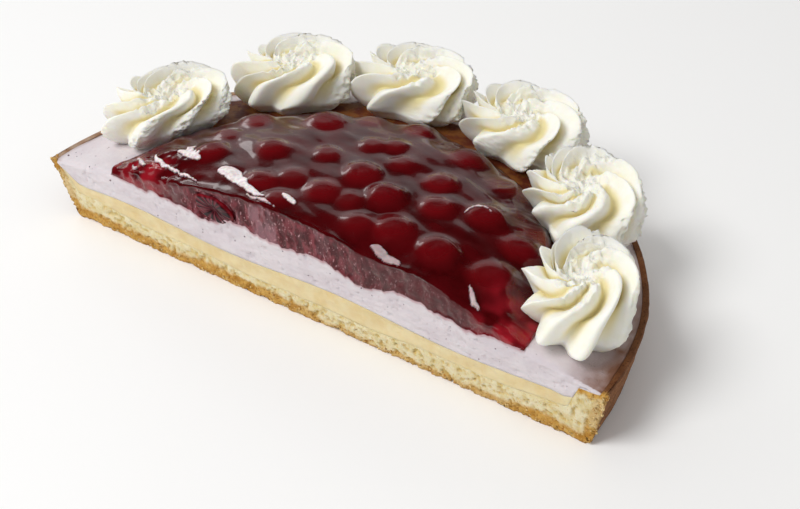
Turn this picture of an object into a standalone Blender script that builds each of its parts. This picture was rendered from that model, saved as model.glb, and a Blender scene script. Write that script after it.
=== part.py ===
"""Half of a round cherry cream pie, built as the real one is.

A baked crust holds a layer of custard, a layer of fruit mousse and a domed cherry filling, with whole
cherries standing out of it and six rosettes of whipped cream piped round the edge. The straight cut
faces -Y, +X runs along the cut and the pie rests on Z = 0. Lengths are in metres.
"""

import math

import bmesh
import bpy
from mathutils import Matrix, Vector

MM = 0.001
GAP = 0.3 * MM  # kept between two pieces that touch
SLICES = 28  # the same for every layer, so that their faces lie side by side

# The middle of the round pie, from the middle of this half's own box.
CENTRE = Vector((1.05 * MM, -70.4 * MM, 0.0))

# Crust
RIM_RADIUS = 135.0 * MM
RIM_HEIGHT = 26.4 * MM
RIM_BAND = 3.0 * MM  # bare baked edge round the mousse
RIM_ROUNDING = 1.2 * MM
RIM_SAG = 2.1 * MM  # how far the rim has settled inwards at the right-hand cut
WALL_LEFT = 5.8 * MM
WALL_RIGHT = 11.5 * MM
WALL_BELLY = 0.3 * MM
WALL_SET_BACK = 0.8 * MM  # how far the foot of the wall stands inside its top
FLARE_LEFT = 11.8 * MM  # the wall leans out by this much from foot to rim
FLARE_RIGHT = 4.4 * MM
FOOT_ROUNDING = 2.3 * MM
LEDGE_STEP = 1.4 * MM
LEDGE_LEFT = 3.4 * MM  # how far the top of the wall slopes down to its inner edge
LEDGE_RIGHT = 1.9 * MM
FLOOR_MIDDLE = 9.0 * MM
FLOOR_EDGE = 12.4 * MM
FLOOR_EDGE_AT = 112.0 * MM
FLOOR_WAVE = 0.5 * MM
FLOOR_WAVE_LENGTH = 9.0 * MM
FLOOR_STATIONS = (0.0, 25.0, 50.0, 75.0, 98.0)  # where it is shaped, in mm from the middle
CORNER_WIDTH = 4.7 * MM  # the curve from the floor to the wall
CORNER_HEIGHT = 2.2 * MM
RIGHT_END = math.radians(24.0)  # the thick end of the wall reaches this far round

# Custard
CUSTARD_TOP = 17.4 * MM
CUSTARD_WAVE = 1.3 * MM
CUSTARD_WAVE_ALONG = 17.0 * MM
CUSTARD_WAVE_ACROSS = 13.0 * MM
CUSTARD_STATIONS = (96.0, 76.0, 57.0, 38.0, 19.0, 0.0)
CUSTARD_CLIMB = 1.5 * MM  # its rise where it meets the wall
CUSTARD_COVE = 5.0 * MM
LINING_LEFT = 3.0 * MM  # custard climbing the inside of the wall
LINING_RIGHT = 0.5 * MM
LINING_BELOW_LEDGE = 0.9 * MM

# Mousse
MOUSSE_UNDER_FILLING = 32.4 * MM
MOUSSE_AT_FILLING = 31.0 * MM
MOUSSE_BELOW_RIM = 0.5 * MM
MOUSSE_EDGE_GAP = 0.8 * MM
MOUSSE_WAVE = 0.7 * MM
MOUSSE_WAVE_ALONG = 7.0 * MM
MOUSSE_WAVE_ACROSS = 9.0 * MM

# Cherry filling. Stations are in mm from the middle, shoulders in mm from its edge.
FILLING_RADIUS = 99.0 * MM
FILLING_WANDER = 0.8 * MM  # how far its outline strays from a circle
FILLING_RISE = 15.0 * MM
FILLING_EDGE = 1.0 * MM
FILLING_SHELF = 22.0 * MM  # it dips to meet the mousse over this outer band
FILLING_UNDER_STATIONS = (0.0, 16.0, 32.0, 47.0, 62.0)
FILLING_TOP_STATIONS = (71.0, 61.0, 51.0, 41.0, 31.0, 19.0, 0.0)
FILLING_SHOULDERS = (2.5, 6.0, 12.0, 19.0)
SWELL_HEIGHT = 1.4 * MM  # it swells up round each cherry
SWELL_REACH = 13.0 * MM

# Cherries: bearing from the middle of the cut in degrees, distance in mm, how far each stands proud
# of the filling in mm, and its size against the common one.
CHERRY_SIZE = Vector((8.3, 7.9, 6.8)) * MM
CHERRY_DIMPLE = 0.72
CHERRY_TURN = math.radians(47.0)  # each lies turned this much further than the one before
SOCKET_OPENING = 1.3
CHERRIES = (
    (13, 77, 3.4, 1.12),
    (28, 84, 2.6, 1.0),
    (17, 55, 3.6, 1.04),
    (40, 72, 2.8, 1.0),
    (27, 37, 3.8, 1.1),
    (45, 54, 2.6, 0.98),
    (61, 62, 1.8, 0.94),
    (72, 84, 3.0, 1.04),
    (60, 37, 3.0, 1.0),
    (91, 86, 2.4, 0.92),
    (87, 40, 2.6, 1.04),
    (101, 22, 2.8, 0.96),
    (118, 76, 4.0, 1.16),
    (154, 32, 2.6, 0.96),
    (138, 53, 2.2, 0.92),
    (139, 83, 2.4, 0.94),
    (160, 64, 2.6, 0.94),
)

# Rosettes, longer along the rim than across it: bearing in degrees, distance in mm, half length and half
# width in mm, height of the crests in mm, and the turn of the first blade in degrees.
ROSETTES = (
    (157.5, 112, 31.0, 23.0, 51.0, 20),
    (127.5, 119, 30.0, 23.0, 53.0, 0),
    (101.0, 120, 32.0, 23.0, 52.5, 12),
    (74.0, 120, 31.5, 24.5, 50.0, 30),
    (46.0, 114, 30.0, 25.0, 51.0, 8),
    (15.5, 110, 29.5, 22.5, 53.0, 24),
)
BLADES = 9
BLADE_STEPS = (0.0, 0.3, 0.7)  # the sharp crest, then the two sides of the groove
TWIST = math.radians(150.0)
# Each ring of a rosette from the foot to the core: height and distance as shares of the whole, how deep
# the grooves cut inwards and downwards, and the share of the twist.
ROSETTE_RINGS = (
    (0.0, 0.73, 0.2, 0.0, 0.0),
    (0.26, 0.92, 0.26, 0.0, 0.03),
    (0.56, 1.0, 0.32, 0.06, 0.08),
    (0.84, 0.9, 0.3, 0.2, 0.2),
    (1.0, 0.68, 0.24, 0.3, 0.42),
    (0.98, 0.4, 0.1, 0.26, 0.72),
    (0.8, 0.17, 0.0, 0.04, 1.0),
)
ROSETTE_CORE = 0.66
ROSETTE_CLEARANCE = 0.8 * MM
ROSETTE_UNDERSIDE = 0.55
ROSETTE_FOOTING = 2.5 * MM  # the highest ground within this reach carries a rosette


def ease(t):
    t = min(1.0, max(0.0, t))
    return t * t * (3.0 - 2.0 * t)


def mix(a, b, t):
    return a + (b - a) * t


def polar(bearing, distance, height=0.0):
    return Vector((distance * math.cos(bearing), distance * math.sin(bearing), height))


def right_end(bearing):
    """1 at the right-hand cut, fading to 0 a little way round."""
    return ease(1.0 - bearing / RIGHT_END)


# ---- Crust ----------------------------------------------------------------------------------------


def rim_radius(bearing):
    return RIM_RADIUS - RIM_SAG * right_end(bearing)


def outer_wall(bearing, height):
    flare = mix(FLARE_RIGHT, FLARE_LEFT, ease(bearing / math.pi))
    return rim_radius(bearing) - flare * (1.0 - min(1.0, height / RIM_HEIGHT))


def wall_thickness(bearing):
    return mix(WALL_LEFT, WALL_RIGHT, right_end(bearing))


def ledge_height(bearing):
    return RIM_HEIGHT - mix(LEDGE_LEFT, LEDGE_RIGHT, right_end(bearing))


def wall_foot(bearing):
    """Where the inside of the wall meets the curve that rises from the floor."""
    face = outer_wall(bearing, FLOOR_EDGE) - wall_thickness(bearing)
    return face - WALL_SET_BACK, FLOOR_EDGE + CORNER_HEIGHT


def inner_wall(bearing, height):
    low_distance, low = wall_foot(bearing)
    high = ledge_height(bearing)
    up = (height - low) / (high - low)
    return mix(low_distance, rim_radius(bearing) - wall_thickness(bearing), up)


def floor_height(bearing, distance):
    along = distance * math.cos(bearing) / FLOOR_WAVE_LENGTH
    wave = FLOOR_WAVE * math.sin(along + 1.3) * min(1.0, distance / (20.0 * MM))
    rise = min(1.0, distance / FLOOR_EDGE_AT) ** 2.4
    return mix(FLOOR_MIDDLE, FLOOR_EDGE, rise) + wave


def inside_of_crust(bearing):
    """The crust's inner face, from the middle of its floor out to the foot of the wall."""
    foot = wall_foot(bearing)
    distances = [d * MM for d in FLOOR_STATIONS] + [foot[0] - CORNER_WIDTH]
    return [(d, floor_height(bearing, d)) for d in distances] + [foot]


def crust_section(bearing):
    foot = outer_wall(bearing, 0.0)
    rim = rim_radius(bearing)
    waist = 0.55 * RIM_HEIGHT
    points = [
        (0.0, 0.0),
        (foot - FOOT_ROUNDING, 0.0),
        (foot - 0.25 * FOOT_ROUNDING, 0.3 * FOOT_ROUNDING),
        (outer_wall(bearing, FOOT_ROUNDING), FOOT_ROUNDING),
        (outer_wall(bearing, waist) + WALL_BELLY, waist),
        (rim, RIM_HEIGHT - RIM_ROUNDING),
        (rim - RIM_ROUNDING, RIM_HEIGHT),
        (rim - RIM_BAND, RIM_HEIGHT - GAP),
        (rim - RIM_BAND - GAP, RIM_HEIGHT - LEDGE_STEP),
        (rim - wall_thickness(bearing), ledge_height(bearing)),
    ]
    return points + inside_of_crust(bearing)[::-1]


# ---- Custard --------------------------------------------------------------------------------------


def custard_top(bearing, distance):
    along = distance * math.cos(bearing) / CUSTARD_WAVE_ALONG
    across = distance * math.sin(bearing) / CUSTARD_WAVE_ACROSS
    return CUSTARD_TOP + CUSTARD_WAVE * (math.sin(along + 0.6) + 0.5 * math.sin(across))


def lining_top(bearing):
    left = ledge_height(bearing) - LINING_BELOW_LEDGE
    return mix(left, CUSTARD_TOP + CUSTARD_CLIMB, right_end(bearing))


def top_of_custard(bearing):
    """The custard's upper face, from the top of its lining on the wall down to the middle."""
    lining = mix(LINING_LEFT, LINING_RIGHT, right_end(bearing))
    high = lining_top(bearing)
    low = CUSTARD_TOP + CUSTARD_CLIMB
    wall = inner_wall(bearing, low) - lining
    points = [
        (inner_wall(bearing, high) - GAP - 0.35 * lining, high),
        (wall - GAP, mix(low, high, 0.12)),
        (wall - CUSTARD_COVE, CUSTARD_TOP),
    ]
    return points + [(d * MM, custard_top(bearing, d * MM)) for d in CUSTARD_STATIONS]


def custard_section(bearing):
    below = [(max(0.0, d - GAP), z + GAP) for d, z in inside_of_crust(bearing)]
    high = lining_top(bearing)
    below.append((inner_wall(bearing, high) - GAP, high - GAP))
    return below + top_of_custard(bearing)


# ---- Mousse ---------------------------------------------------------------------------------------


def filling_radius(bearing):
    wander = math.sin(5.0 * bearing + 0.8) * math.sin(bearing)
    return FILLING_RADIUS + FILLING_WANDER * wander


def mousse_top(bearing, distance):
    edge = filling_radius(bearing)
    if distance > edge:
        out = (distance - edge) / (rim_radius(bearing) - RIM_BAND - edge)
        return mix(MOUSSE_AT_FILLING, RIM_HEIGHT - MOUSSE_BELOW_RIM, min(1.0, out) ** 1.15)
    along = distance * math.cos(bearing) / MOUSSE_WAVE_ALONG
    across = distance * math.sin(bearing) / MOUSSE_WAVE_ACROSS
    middle = MOUSSE_UNDER_FILLING + MOUSSE_WAVE * math.sin(along) * math.cos(across + 0.4)
    return mix(MOUSSE_AT_FILLING, middle, ease((edge - distance) / FILLING_SHELF))


def mousse_section(bearing):
    below = [(max(0.0, d - GAP), z + GAP) for d, z in top_of_custard(bearing)[::-1]]
    rim = rim_radius(bearing)
    brink = rim - RIM_BAND - MOUSSE_EDGE_GAP
    below += [
        (rim - wall_thickness(bearing) - GAP, ledge_height(bearing) + 1.6 * GAP),
        (brink, RIM_HEIGHT - LEDGE_STEP + GAP),
        (brink, RIM_HEIGHT - MOUSSE_BELOW_RIM),
    ]
    edge = filling_radius(bearing)
    stations = [mix(edge, rim, 0.55), mix(edge, rim, 0.22), edge, edge - FILLING_SHELF / 3.0]
    stations.append(edge - FILLING_SHELF)
    stations += [d * MM for d in FILLING_UNDER_STATIONS[::-1]]
    return below + [(d, mousse_top(bearing, d)) for d in stations]


# ---- Cherry filling -------------------------------------------------------------------------------


def filling_dome(bearing, distance):
    share = min(1.0, distance / filling_radius(bearing))
    rise = 1.0 - 0.35 * share**2 - 0.65 * share**6
    return MOUSSE_AT_FILLING + FILLING_EDGE + FILLING_RISE * rise


def filling_top(bearing, distance):
    """The dome, swelling up round every cherry that stands out of it."""
    here = polar(bearing, distance)
    swell = 0.0
    for angle, out, _, size in CHERRIES:
        away = (here - polar(math.radians(angle), out * MM)).length / (SWELL_REACH * size)
        swell = max(swell, ease(1.0 - away))
    inwards = ease((filling_radius(bearing) - distance) / (8.0 * MM))
    return filling_dome(bearing, distance) + SWELL_HEIGHT * swell * inwards


def filling_section(bearing):
    edge = filling_radius(bearing)
    lower = [d * MM for d in FILLING_UNDER_STATIONS]
    lower += [edge - FILLING_SHELF, edge - FILLING_SHELF / 3.0, edge - 0.8 * MM]
    upper = [edge - inset * MM for inset in FILLING_SHOULDERS]
    upper += [d * MM for d in FILLING_TOP_STATIONS]
    points = [(d, mousse_top(bearing, d) + 1.2 * GAP) for d in lower]
    points.append((edge - GAP, MOUSSE_AT_FILLING + FILLING_EDGE + GAP))
    return points + [(d, filling_top(bearing, d)) for d in upper]


# ---- Building -------------------------------------------------------------------------------------


def material(name, colour, roughness):
    made = bpy.data.materials.new(name)
    made.use_nodes = True
    shader = made.node_tree.nodes["Principled BSDF"]
    shader.inputs["Base Color"].default_value = (*colour, 1.0)
    shader.inputs["Roughness"].default_value = roughness
    shader.inputs["Metallic"].default_value = 0.0
    return made


def add_object(name, mesh, parent, finish, place=(0.0, 0.0, 0.0), angle=None):
    """Turns a bmesh into an object, shaded smooth except where it folds by more than angle."""
    bmesh.ops.recalc_face_normals(mesh, faces=mesh.faces)
    data = bpy.data.meshes.new(name)
    mesh.to_mesh(data)
    mesh.free()
    data.materials.append(finish)
    data.shade_smooth()
    if angle is not None:
        data.set_sharp_from_angle(angle=angle)
    made = bpy.data.objects.new(name, data)
    made.location = place
    made.parent = parent
    bpy.context.collection.objects.link(made)
    return made


def half_turn(section):
    """The solid that a section sweeps through half a turn. Each section starts and ends on the axis,
    and both halves of the cut face meet along it."""
    mesh = bmesh.new()
    first = section(0.0)
    low = mesh.verts.new((0.0, 0.0, first[0][1]))
    high = mesh.verts.new((0.0, 0.0, first[-1][1]))
    rows = []
    for i in range(SLICES + 1):
        bearing = math.pi * i / SLICES
        row = [mesh.verts.new(polar(bearing, d, z)) for d, z in section(bearing)[1:-1]]
        for vertex in row if i in (0, SLICES) else ():
            vertex.co.y = 0.0
        rows.append([low, *row, high])
    for row, after in zip(rows, rows[1:]):
        mesh.faces.new((low, row[1], after[1]))
        for k in range(1, len(row) - 2):
            a, b, c, d = row[k], row[k + 1], after[k + 1], after[k]
            # The fold in each four-sided patch runs the same way on both faces of a gap.
            if a.co.xy.length < b.co.xy.length:
                mesh.faces.new((a, b, c))
                mesh.faces.new((a, c, d))
            else:
                mesh.faces.new((a, b, d))
                mesh.faces.new((b, c, d))
        mesh.faces.new((row[-2], high, after[-2]))
    mesh.faces.new(rows[0][::-1])
    mesh.faces.new(rows[-1])
    return mesh


def cherry_mesh(size):
    """A stoned cherry: a flattened ball with a dimple where its stalk was."""
    mesh = bmesh.new()
    bmesh.ops.create_icosphere(mesh, subdivisions=2, radius=1.0)
    crown = max(mesh.verts, key=lambda v: v.co.z)
    crown.co.z *= CHERRY_DIMPLE
    bmesh.ops.scale(mesh, vec=CHERRY_SIZE * size, verts=mesh.verts)
    return mesh


def socket_mesh(size):
    """The hollow a cherry lies in: larger by the gap, and open above."""
    mesh = bmesh.new()
    bmesh.ops.create_icosphere(mesh, subdivisions=2, radius=1.0)
    radii = CHERRY_SIZE * size + Vector((GAP, GAP, GAP))
    bmesh.ops.scale(mesh, vec=radii, verts=mesh.verts)
    for vertex in mesh.verts:
        if vertex.co.z > 0.0:
            vertex.co.z *= SOCKET_OPENING
    return mesh


def cherry_place(spec):
    """The middle of a cherry, which never reaches down into the mousse."""
    angle, out, proud, size = spec
    bearing = math.radians(angle)
    half_height = CHERRY_SIZE.z * size
    lowest = MOUSSE_UNDER_FILLING + MOUSSE_WAVE + 2.5 * GAP + half_height
    height = filling_dome(bearing, out * MM) + proud * MM - half_height
    return polar(bearing, out * MM, max(height, lowest))


def build_cherries(parent, finish, filling):
    for i, spec in enumerate(CHERRIES):
        size = spec[3]
        place = cherry_place(spec)
        turn = Matrix.Rotation(CHERRY_TURN * i, 4, "Z").to_euler()
        cherry = add_object(f"cherry_{i + 1:02d}", cherry_mesh(size), parent, finish, place)
        cherry.rotation_euler = turn
        socket = add_object(f"socket_{i + 1:02d}", socket_mesh(size), parent, finish, place)
        socket.rotation_euler = turn
        socket.hide_render = True
        socket.display_type = "WIRE"
        cut = filling.modifiers.new(socket.name, "BOOLEAN")
        cut.operation = "DIFFERENCE"
        cut.solver = "EXACT"
        cut.object = socket


def ground_height(x, y):
    """The height of the pie at a point: its filling, mousse or rim."""
    bearing = math.atan2(y, x)
    distance = math.hypot(x, y)
    if distance < filling_radius(bearing):
        return filling_top(bearing, distance)
    if distance < rim_radius(bearing) - RIM_BAND:
        return mousse_top(bearing, distance)
    return RIM_HEIGHT


def surface_height(x, y):
    """The highest of the ground and the cherries within a rosette's footing of a point."""
    reach = ROSETTE_FOOTING
    around = ((0.0, 0.0), (reach, 0.0), (-reach, 0.0), (0.0, reach), (0.0, -reach))
    highest = max(ground_height(x + dx, max(0.0, y + dy)) for dx, dy in around)
    for spec in CHERRIES:
        place = cherry_place(spec)
        away = math.hypot(x - place.x, y - place.y) / (CHERRY_SIZE.x * spec[3] + reach)
        if away < 1.0:
            dome = place.z + CHERRY_SIZE.z * spec[3] * math.sqrt(1.0 - away**2)
            highest = max(highest, dome + GAP)
    return highest


def rosette_place(spec):
    return polar(math.radians(spec[0]), spec[1] * MM)


def keep_apart(point, own, others):
    """Presses a point of one rosette back where it would pass into its neighbour."""
    centre = rosette_place(own)
    for other in others:
        towards = rosette_place(other) - centre
        span = towards.length
        towards.normalize()
        limit = span * own[2] / (own[2] + other[2]) - 0.5 * GAP
        past = (point - centre).dot(towards) - limit
        if past > 0.0:
            point = point - towards * past
    point.y = max(point.y, GAP)
    return point


def rosette_mesh(own, others):
    """A rosette piped with a star nozzle: blades with deep grooves between them, turning as they rise."""
    _, _, length, width, top, turn = own
    centre = rosette_place(own)
    outwards = centre.normalized()
    along = Vector((outwards.y, -outwards.x, 0.0))
    blades = [2.0 * math.pi * (i + step) / BLADES for i in range(BLADES) for step in BLADE_STEPS]
    mesh = bmesh.new()

    def ring(height, distance, inwards, downwards, swing):
        made = []
        for blade in blades:
            groove = abs(math.sin(0.5 * BLADES * blade))
            bearing = math.radians(turn) + blade + TWIST * swing
            reach = distance * MM * (1.0 - inwards * groove)
            offset = along * length * math.cos(bearing) + outwards * width * math.sin(bearing)
            point = keep_apart(centre + offset * reach, own, others)
            low = surface_height(point.x, point.y) + ROSETTE_CLEARANCE
            point.z = mix(low, top * MM, height * (1.0 - downwards * groove))
            made.append(mesh.verts.new(point))
        return made

    _, foot_distance, foot_groove, _, _ = ROSETTE_RINGS[0]
    rings = [ring(0.0, foot_distance * ROSETTE_UNDERSIDE, foot_groove, 0.0, 0.0)]
    rings += [ring(*spec) for spec in ROSETTE_RINGS]
    ground = surface_height(centre.x, centre.y) + ROSETTE_CLEARANCE
    foot = mesh.verts.new((centre.x, centre.y, ground))
    core = mesh.verts.new((centre.x, centre.y, mix(ground, top * MM, ROSETTE_CORE)))
    for k in range(len(blades)):
        after = (k + 1) % len(blades)
        mesh.faces.new((foot, rings[0][after], rings[0][k]))
        mesh.faces.new((core, rings[-1][k], rings[-1][after]))
        for low, high in zip(rings, rings[1:]):
            mesh.faces.new((low[k], low[after], high[after], high[k]))
    return mesh


def build_rosettes(parent, finish):
    for i, own in enumerate(ROSETTES):
        others = [ROSETTES[k] for k in (i - 1, i + 1) if 0 <= k < len(ROSETTES)]
        mesh = rosette_mesh(own, others)
        add_object(f"rosette_{i + 1}", mesh, parent, finish, angle=math.radians(50.0))


def main():
    for old in list(bpy.data.objects):
        bpy.data.objects.remove(old, do_unlink=True)
    pie = bpy.data.objects.new("pie", None)
    pie.location = CENTRE
    bpy.context.collection.objects.link(pie)

    pastry = material("pastry", (0.52, 0.33, 0.15), 0.85)
    custard = material("custard", (0.72, 0.58, 0.31), 0.5)
    mousse = material("mousse", (0.68, 0.63, 0.62), 0.6)
    jelly = material("cherry_jelly", (0.09, 0.004, 0.007), 0.12)
    fruit = material("cherry", (0.17, 0.004, 0.01), 0.15)
    cream = material("whipped_cream", (0.88, 0.84, 0.72), 0.7)

    sharp = math.radians(40.0)
    add_object("crust", half_turn(crust_section), pie, pastry, angle=sharp)
    add_object("custard", half_turn(custard_section), pie, custard, angle=sharp)
    add_object("mousse", half_turn(mousse_section), pie, mousse, angle=sharp)
    filling = add_object("cherry_filling", half_turn(filling_section), pie, jelly, angle=sharp)
    build_cherries(pie, fruit, filling)
    build_rosettes(pie, cream)


main()
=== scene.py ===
import math

import bmesh
import bpy
import numpy as np
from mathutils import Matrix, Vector


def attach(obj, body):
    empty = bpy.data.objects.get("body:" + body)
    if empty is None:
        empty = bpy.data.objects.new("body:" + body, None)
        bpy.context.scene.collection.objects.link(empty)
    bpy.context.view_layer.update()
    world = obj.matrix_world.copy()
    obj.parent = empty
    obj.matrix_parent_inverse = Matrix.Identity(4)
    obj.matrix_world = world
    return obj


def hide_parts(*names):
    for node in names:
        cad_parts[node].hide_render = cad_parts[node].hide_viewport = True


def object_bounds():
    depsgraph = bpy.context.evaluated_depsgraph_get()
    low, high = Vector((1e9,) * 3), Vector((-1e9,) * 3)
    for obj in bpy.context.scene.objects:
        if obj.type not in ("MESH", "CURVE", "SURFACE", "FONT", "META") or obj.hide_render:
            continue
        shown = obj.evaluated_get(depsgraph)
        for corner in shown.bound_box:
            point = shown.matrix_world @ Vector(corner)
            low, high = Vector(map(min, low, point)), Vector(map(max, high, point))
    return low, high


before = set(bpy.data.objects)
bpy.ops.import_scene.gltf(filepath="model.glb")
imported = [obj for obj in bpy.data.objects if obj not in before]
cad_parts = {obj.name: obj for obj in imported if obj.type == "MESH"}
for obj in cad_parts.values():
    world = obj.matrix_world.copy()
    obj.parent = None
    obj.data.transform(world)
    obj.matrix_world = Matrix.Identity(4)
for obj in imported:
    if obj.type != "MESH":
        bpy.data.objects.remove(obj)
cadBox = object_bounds()

mm = 0.001
pieCentre = np.array((1.05, -70.4, 0.0)) * mm  # the middle of the whole round pie; its cut runs along X


# ---------- small helpers ----------

def ease(t):
    t = np.clip(t, 0.0, 1.0)
    return t * t * (3.0 - 2.0 * t)


def mix(a, b, t):
    return a + (b - a) * t


def latticeValue(cell, seed):
    mixed = cell[..., 0] * 127.1 + cell[..., 1] * 311.7 + cell[..., 2] * 74.7 + seed * 53.3
    return np.abs(np.sin(mixed) * 43758.5453) % 1.0


def softNoise(points, size, seed=0):
    # smooth random field from -1 to 1 whose features are about size apart
    scaled = np.asarray(points) / size + 1000.0
    base = np.floor(scaled)
    part = scaled - base
    blend = part * part * part * (part * (part * 6.0 - 15.0) + 10.0)
    total = 0.0
    for corner in np.ndindex(2, 2, 2):
        corner = np.array(corner)
        weight = np.prod(np.where(corner == 1, blend, 1.0 - blend), axis=-1)
        total = total + weight * latticeValue(base + corner, seed)
    return total * 2.0 - 1.0


def roughNoise(points, size, seed=0, octaves=3):
    total = 0.0
    for k in range(octaves):
        total = total + softNoise(points, size / 2.0**k, seed + 7 * k) / 2.0**k
    return total / (2.0 - 2.0 ** (1 - octaves))


def gridFaces(rows, columns, start=0, wrapColumns=False):
    # four-cornered faces of a grid whose points are stored row by row
    index = start + np.arange(rows * columns).reshape(rows, columns)
    if wrapColumns:
        index = np.concatenate([index, index[:, :1]], axis=1)
    corners = (index[:-1, :-1], index[:-1, 1:], index[1:, 1:], index[1:, :-1])
    return np.stack([c.ravel() for c in corners], axis=-1)


def makePiece(name, points, faces, finish, values=None, mergeWithin=0.000002):
    # a mesh object at the origin, closed up where its sheets meet and with its faces outwards
    mesh = bpy.data.meshes.new(name)
    mesh.from_pydata((points + pieCentre).tolist(), [], [list(map(int, f)) for f in faces])
    for label, numbers in (values or {}).items():
        layer = mesh.attributes.new(label, "FLOAT", "POINT")
        layer.data.foreach_set("value", np.asarray(numbers, dtype=np.float32).ravel())
    work = bmesh.new()
    work.from_mesh(mesh)
    bmesh.ops.remove_doubles(work, verts=work.verts, dist=mergeWithin)
    bmesh.ops.dissolve_degenerate(work, edges=work.edges, dist=mergeWithin)
    bmesh.ops.recalc_face_normals(work, faces=work.faces)
    work.to_mesh(mesh)
    work.free()
    mesh.shade_smooth()
    mesh.materials.append(finish)
    piece = bpy.data.objects.new(name, mesh)
    bpy.context.collection.objects.link(piece)
    return piece


def dress(piece, slot, *nodes):
    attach(piece, "root")
    if nodes:
        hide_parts(*nodes)


# ---------- finishes ----------

def linear(hexColour):
    # an sRGB hex value as the linear colour that a shader takes
    channels = [int(hexColour[i : i + 2], 16) / 255.0 for i in (0, 2, 4)]
    low = [c / 12.92 if c <= 0.04045 else ((c + 0.055) / 1.055) ** 2.4 for c in channels]
    return (*low, 1.0)


def addNode(tree, kind, inputs=None, **settings):
    node = tree.nodes.new(kind)
    for key, value in settings.items():
        setattr(node, key, value)
    for socket, value in (inputs or {}).items():
        if isinstance(value, bpy.types.NodeSocket):
            tree.links.new(value, node.inputs[socket])
        else:
            node.inputs[socket].default_value = value
    return node


def newFinish(name, **settings):
    finish = bpy.data.materials.new(name)
    finish.use_nodes = True
    tree = finish.node_tree
    shader = tree.nodes["Principled BSDF"]
    for socket, value in settings.items():
        shader.inputs[socket.replace("_", " ")].default_value = value
    place = addNode(tree, "ShaderNodeTexCoord").outputs["Object"]
    return finish, tree, shader, place


def blendColours(tree, factor, first, second, how="MIX"):
    node = addNode(tree, "ShaderNodeMix", data_type="RGBA", blend_type=how)
    for socket, value in ((0, factor), (6, first), (7, second)):
        if isinstance(value, bpy.types.NodeSocket):
            tree.links.new(value, node.inputs[socket])
        else:
            node.inputs[socket].default_value = value
    return node.outputs[2]


def noiseOf(tree, place, size, detail=3.0, roughness=0.6):
    # a noise whose blotches are about size millimetres across
    inputs = {"Vector": place, "Scale": 1.0 / (size * mm), "Detail": detail, "Roughness": roughness}
    return addNode(tree, "ShaderNodeTexNoise", inputs).outputs["Fac"]


def spread(tree, value, low, high, to=(0.0, 1.0)):
    inputs = {"Value": value, "From Min": low, "From Max": high, "To Min": to[0], "To Max": to[1]}
    return addNode(tree, "ShaderNodeMapRange", inputs, interpolation_type="SMOOTHSTEP").outputs["Result"]


def valueOf(tree, label):
    return addNode(tree, "ShaderNodeAttribute", attribute_name=label).outputs["Fac"]


def bump(tree, shader, height, distance, strength=1.0):
    inputs = {"Height": height, "Distance": distance * mm, "Strength": strength}
    node = addNode(tree, "ShaderNodeBump", inputs)
    tree.links.new(node.outputs["Normal"], shader.inputs["Normal"])


def math_(tree, how, a, b=0.0):
    return addNode(tree, "ShaderNodeMath", {0: a, 1: b}, operation=how).outputs[0]


# Baked yeast dough, torn by the knife at the cut and browned where it met the tin.
def pastryFinish():
    finish, tree, shader, place = newFinish("bakedDough", Roughness=0.82)
    shader.inputs["Specular IOR Level"].default_value = 0.25
    baked = valueOf(tree, "baked")
    toast = valueOf(tree, "toast")
    mottle = noiseOf(tree, place, 5.0, 4.0)
    fine = noiseOf(tree, place, 0.9, 3.0)
    crumb = blendColours(tree, spread(tree, mottle, 0.35, 0.7), linear("F1E6C2"), linear("E6D5A0"))
    crumb = blendColours(tree, spread(tree, fine, 0.56, 0.72), crumb, linear("DDBD74"))
    # painted shade: the open pores are tinted a darker gold, standing for the shade inside them
    crumb = blendColours(tree, math_(tree, "MULTIPLY", valueOf(tree, "pore"), 0.7), crumb, linear("DDBB66"))
    brown = blendColours(tree, spread(tree, mottle, 0.3, 0.7), linear("DFB565"), linear("C08A38"))
    brown = blendColours(tree, spread(tree, fine, 0.55, 0.66), brown, linear("A56C28"))
    skin = blendColours(tree, spread(tree, mottle, 0.3, 0.7), linear("9E6A42"), linear("7C4E2A"))
    skin = blendColours(tree, spread(tree, fine, 0.55, 0.66), skin, linear("5E341A"))
    colour = blendColours(tree, toast, crumb, brown)
    colour = blendColours(tree, baked, colour, skin)
    colour = blendColours(tree, math_(tree, "MULTIPLY", valueOf(tree, "smear"), 0.5), colour, linear("D9C6B2"))
    colour = blendColours(tree, math_(tree, "MULTIPLY", valueOf(tree, "rim"), 0.6), colour, linear("56301E"))
    tree.links.new(colour, shader.inputs["Base Color"])
    shader.inputs["Subsurface Weight"].default_value = 0.15
    shader.inputs["Subsurface Radius"].default_value = (1.0, 0.6, 0.3)
    shader.inputs["Subsurface Scale"].default_value = 1.2 * mm
    bump(tree, shader, noiseOf(tree, place, 0.7, 4.0, 0.75), 0.8, 0.8)
    return finish


# Set vanilla custard, cut clean: smooth, faintly translucent.
def custardFinish():
    finish, tree, shader, place = newFinish("setCustard", Roughness=0.45)
    mottle = noiseOf(tree, place, 9.0, 4.0)
    colour = blendColours(tree, spread(tree, mottle, 0.35, 0.7), linear("E4D3A6"), linear("DDC58F"))
    tree.links.new(colour, shader.inputs["Base Color"])
    shader.inputs["Subsurface Weight"].default_value = 0.3
    shader.inputs["Subsurface Radius"].default_value = (1.0, 0.7, 0.35)
    shader.inputs["Subsurface Scale"].default_value = 2.0 * mm
    bump(tree, shader, noiseOf(tree, place, 2.5, 4.0), 0.4, 0.4)
    return finish


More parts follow.
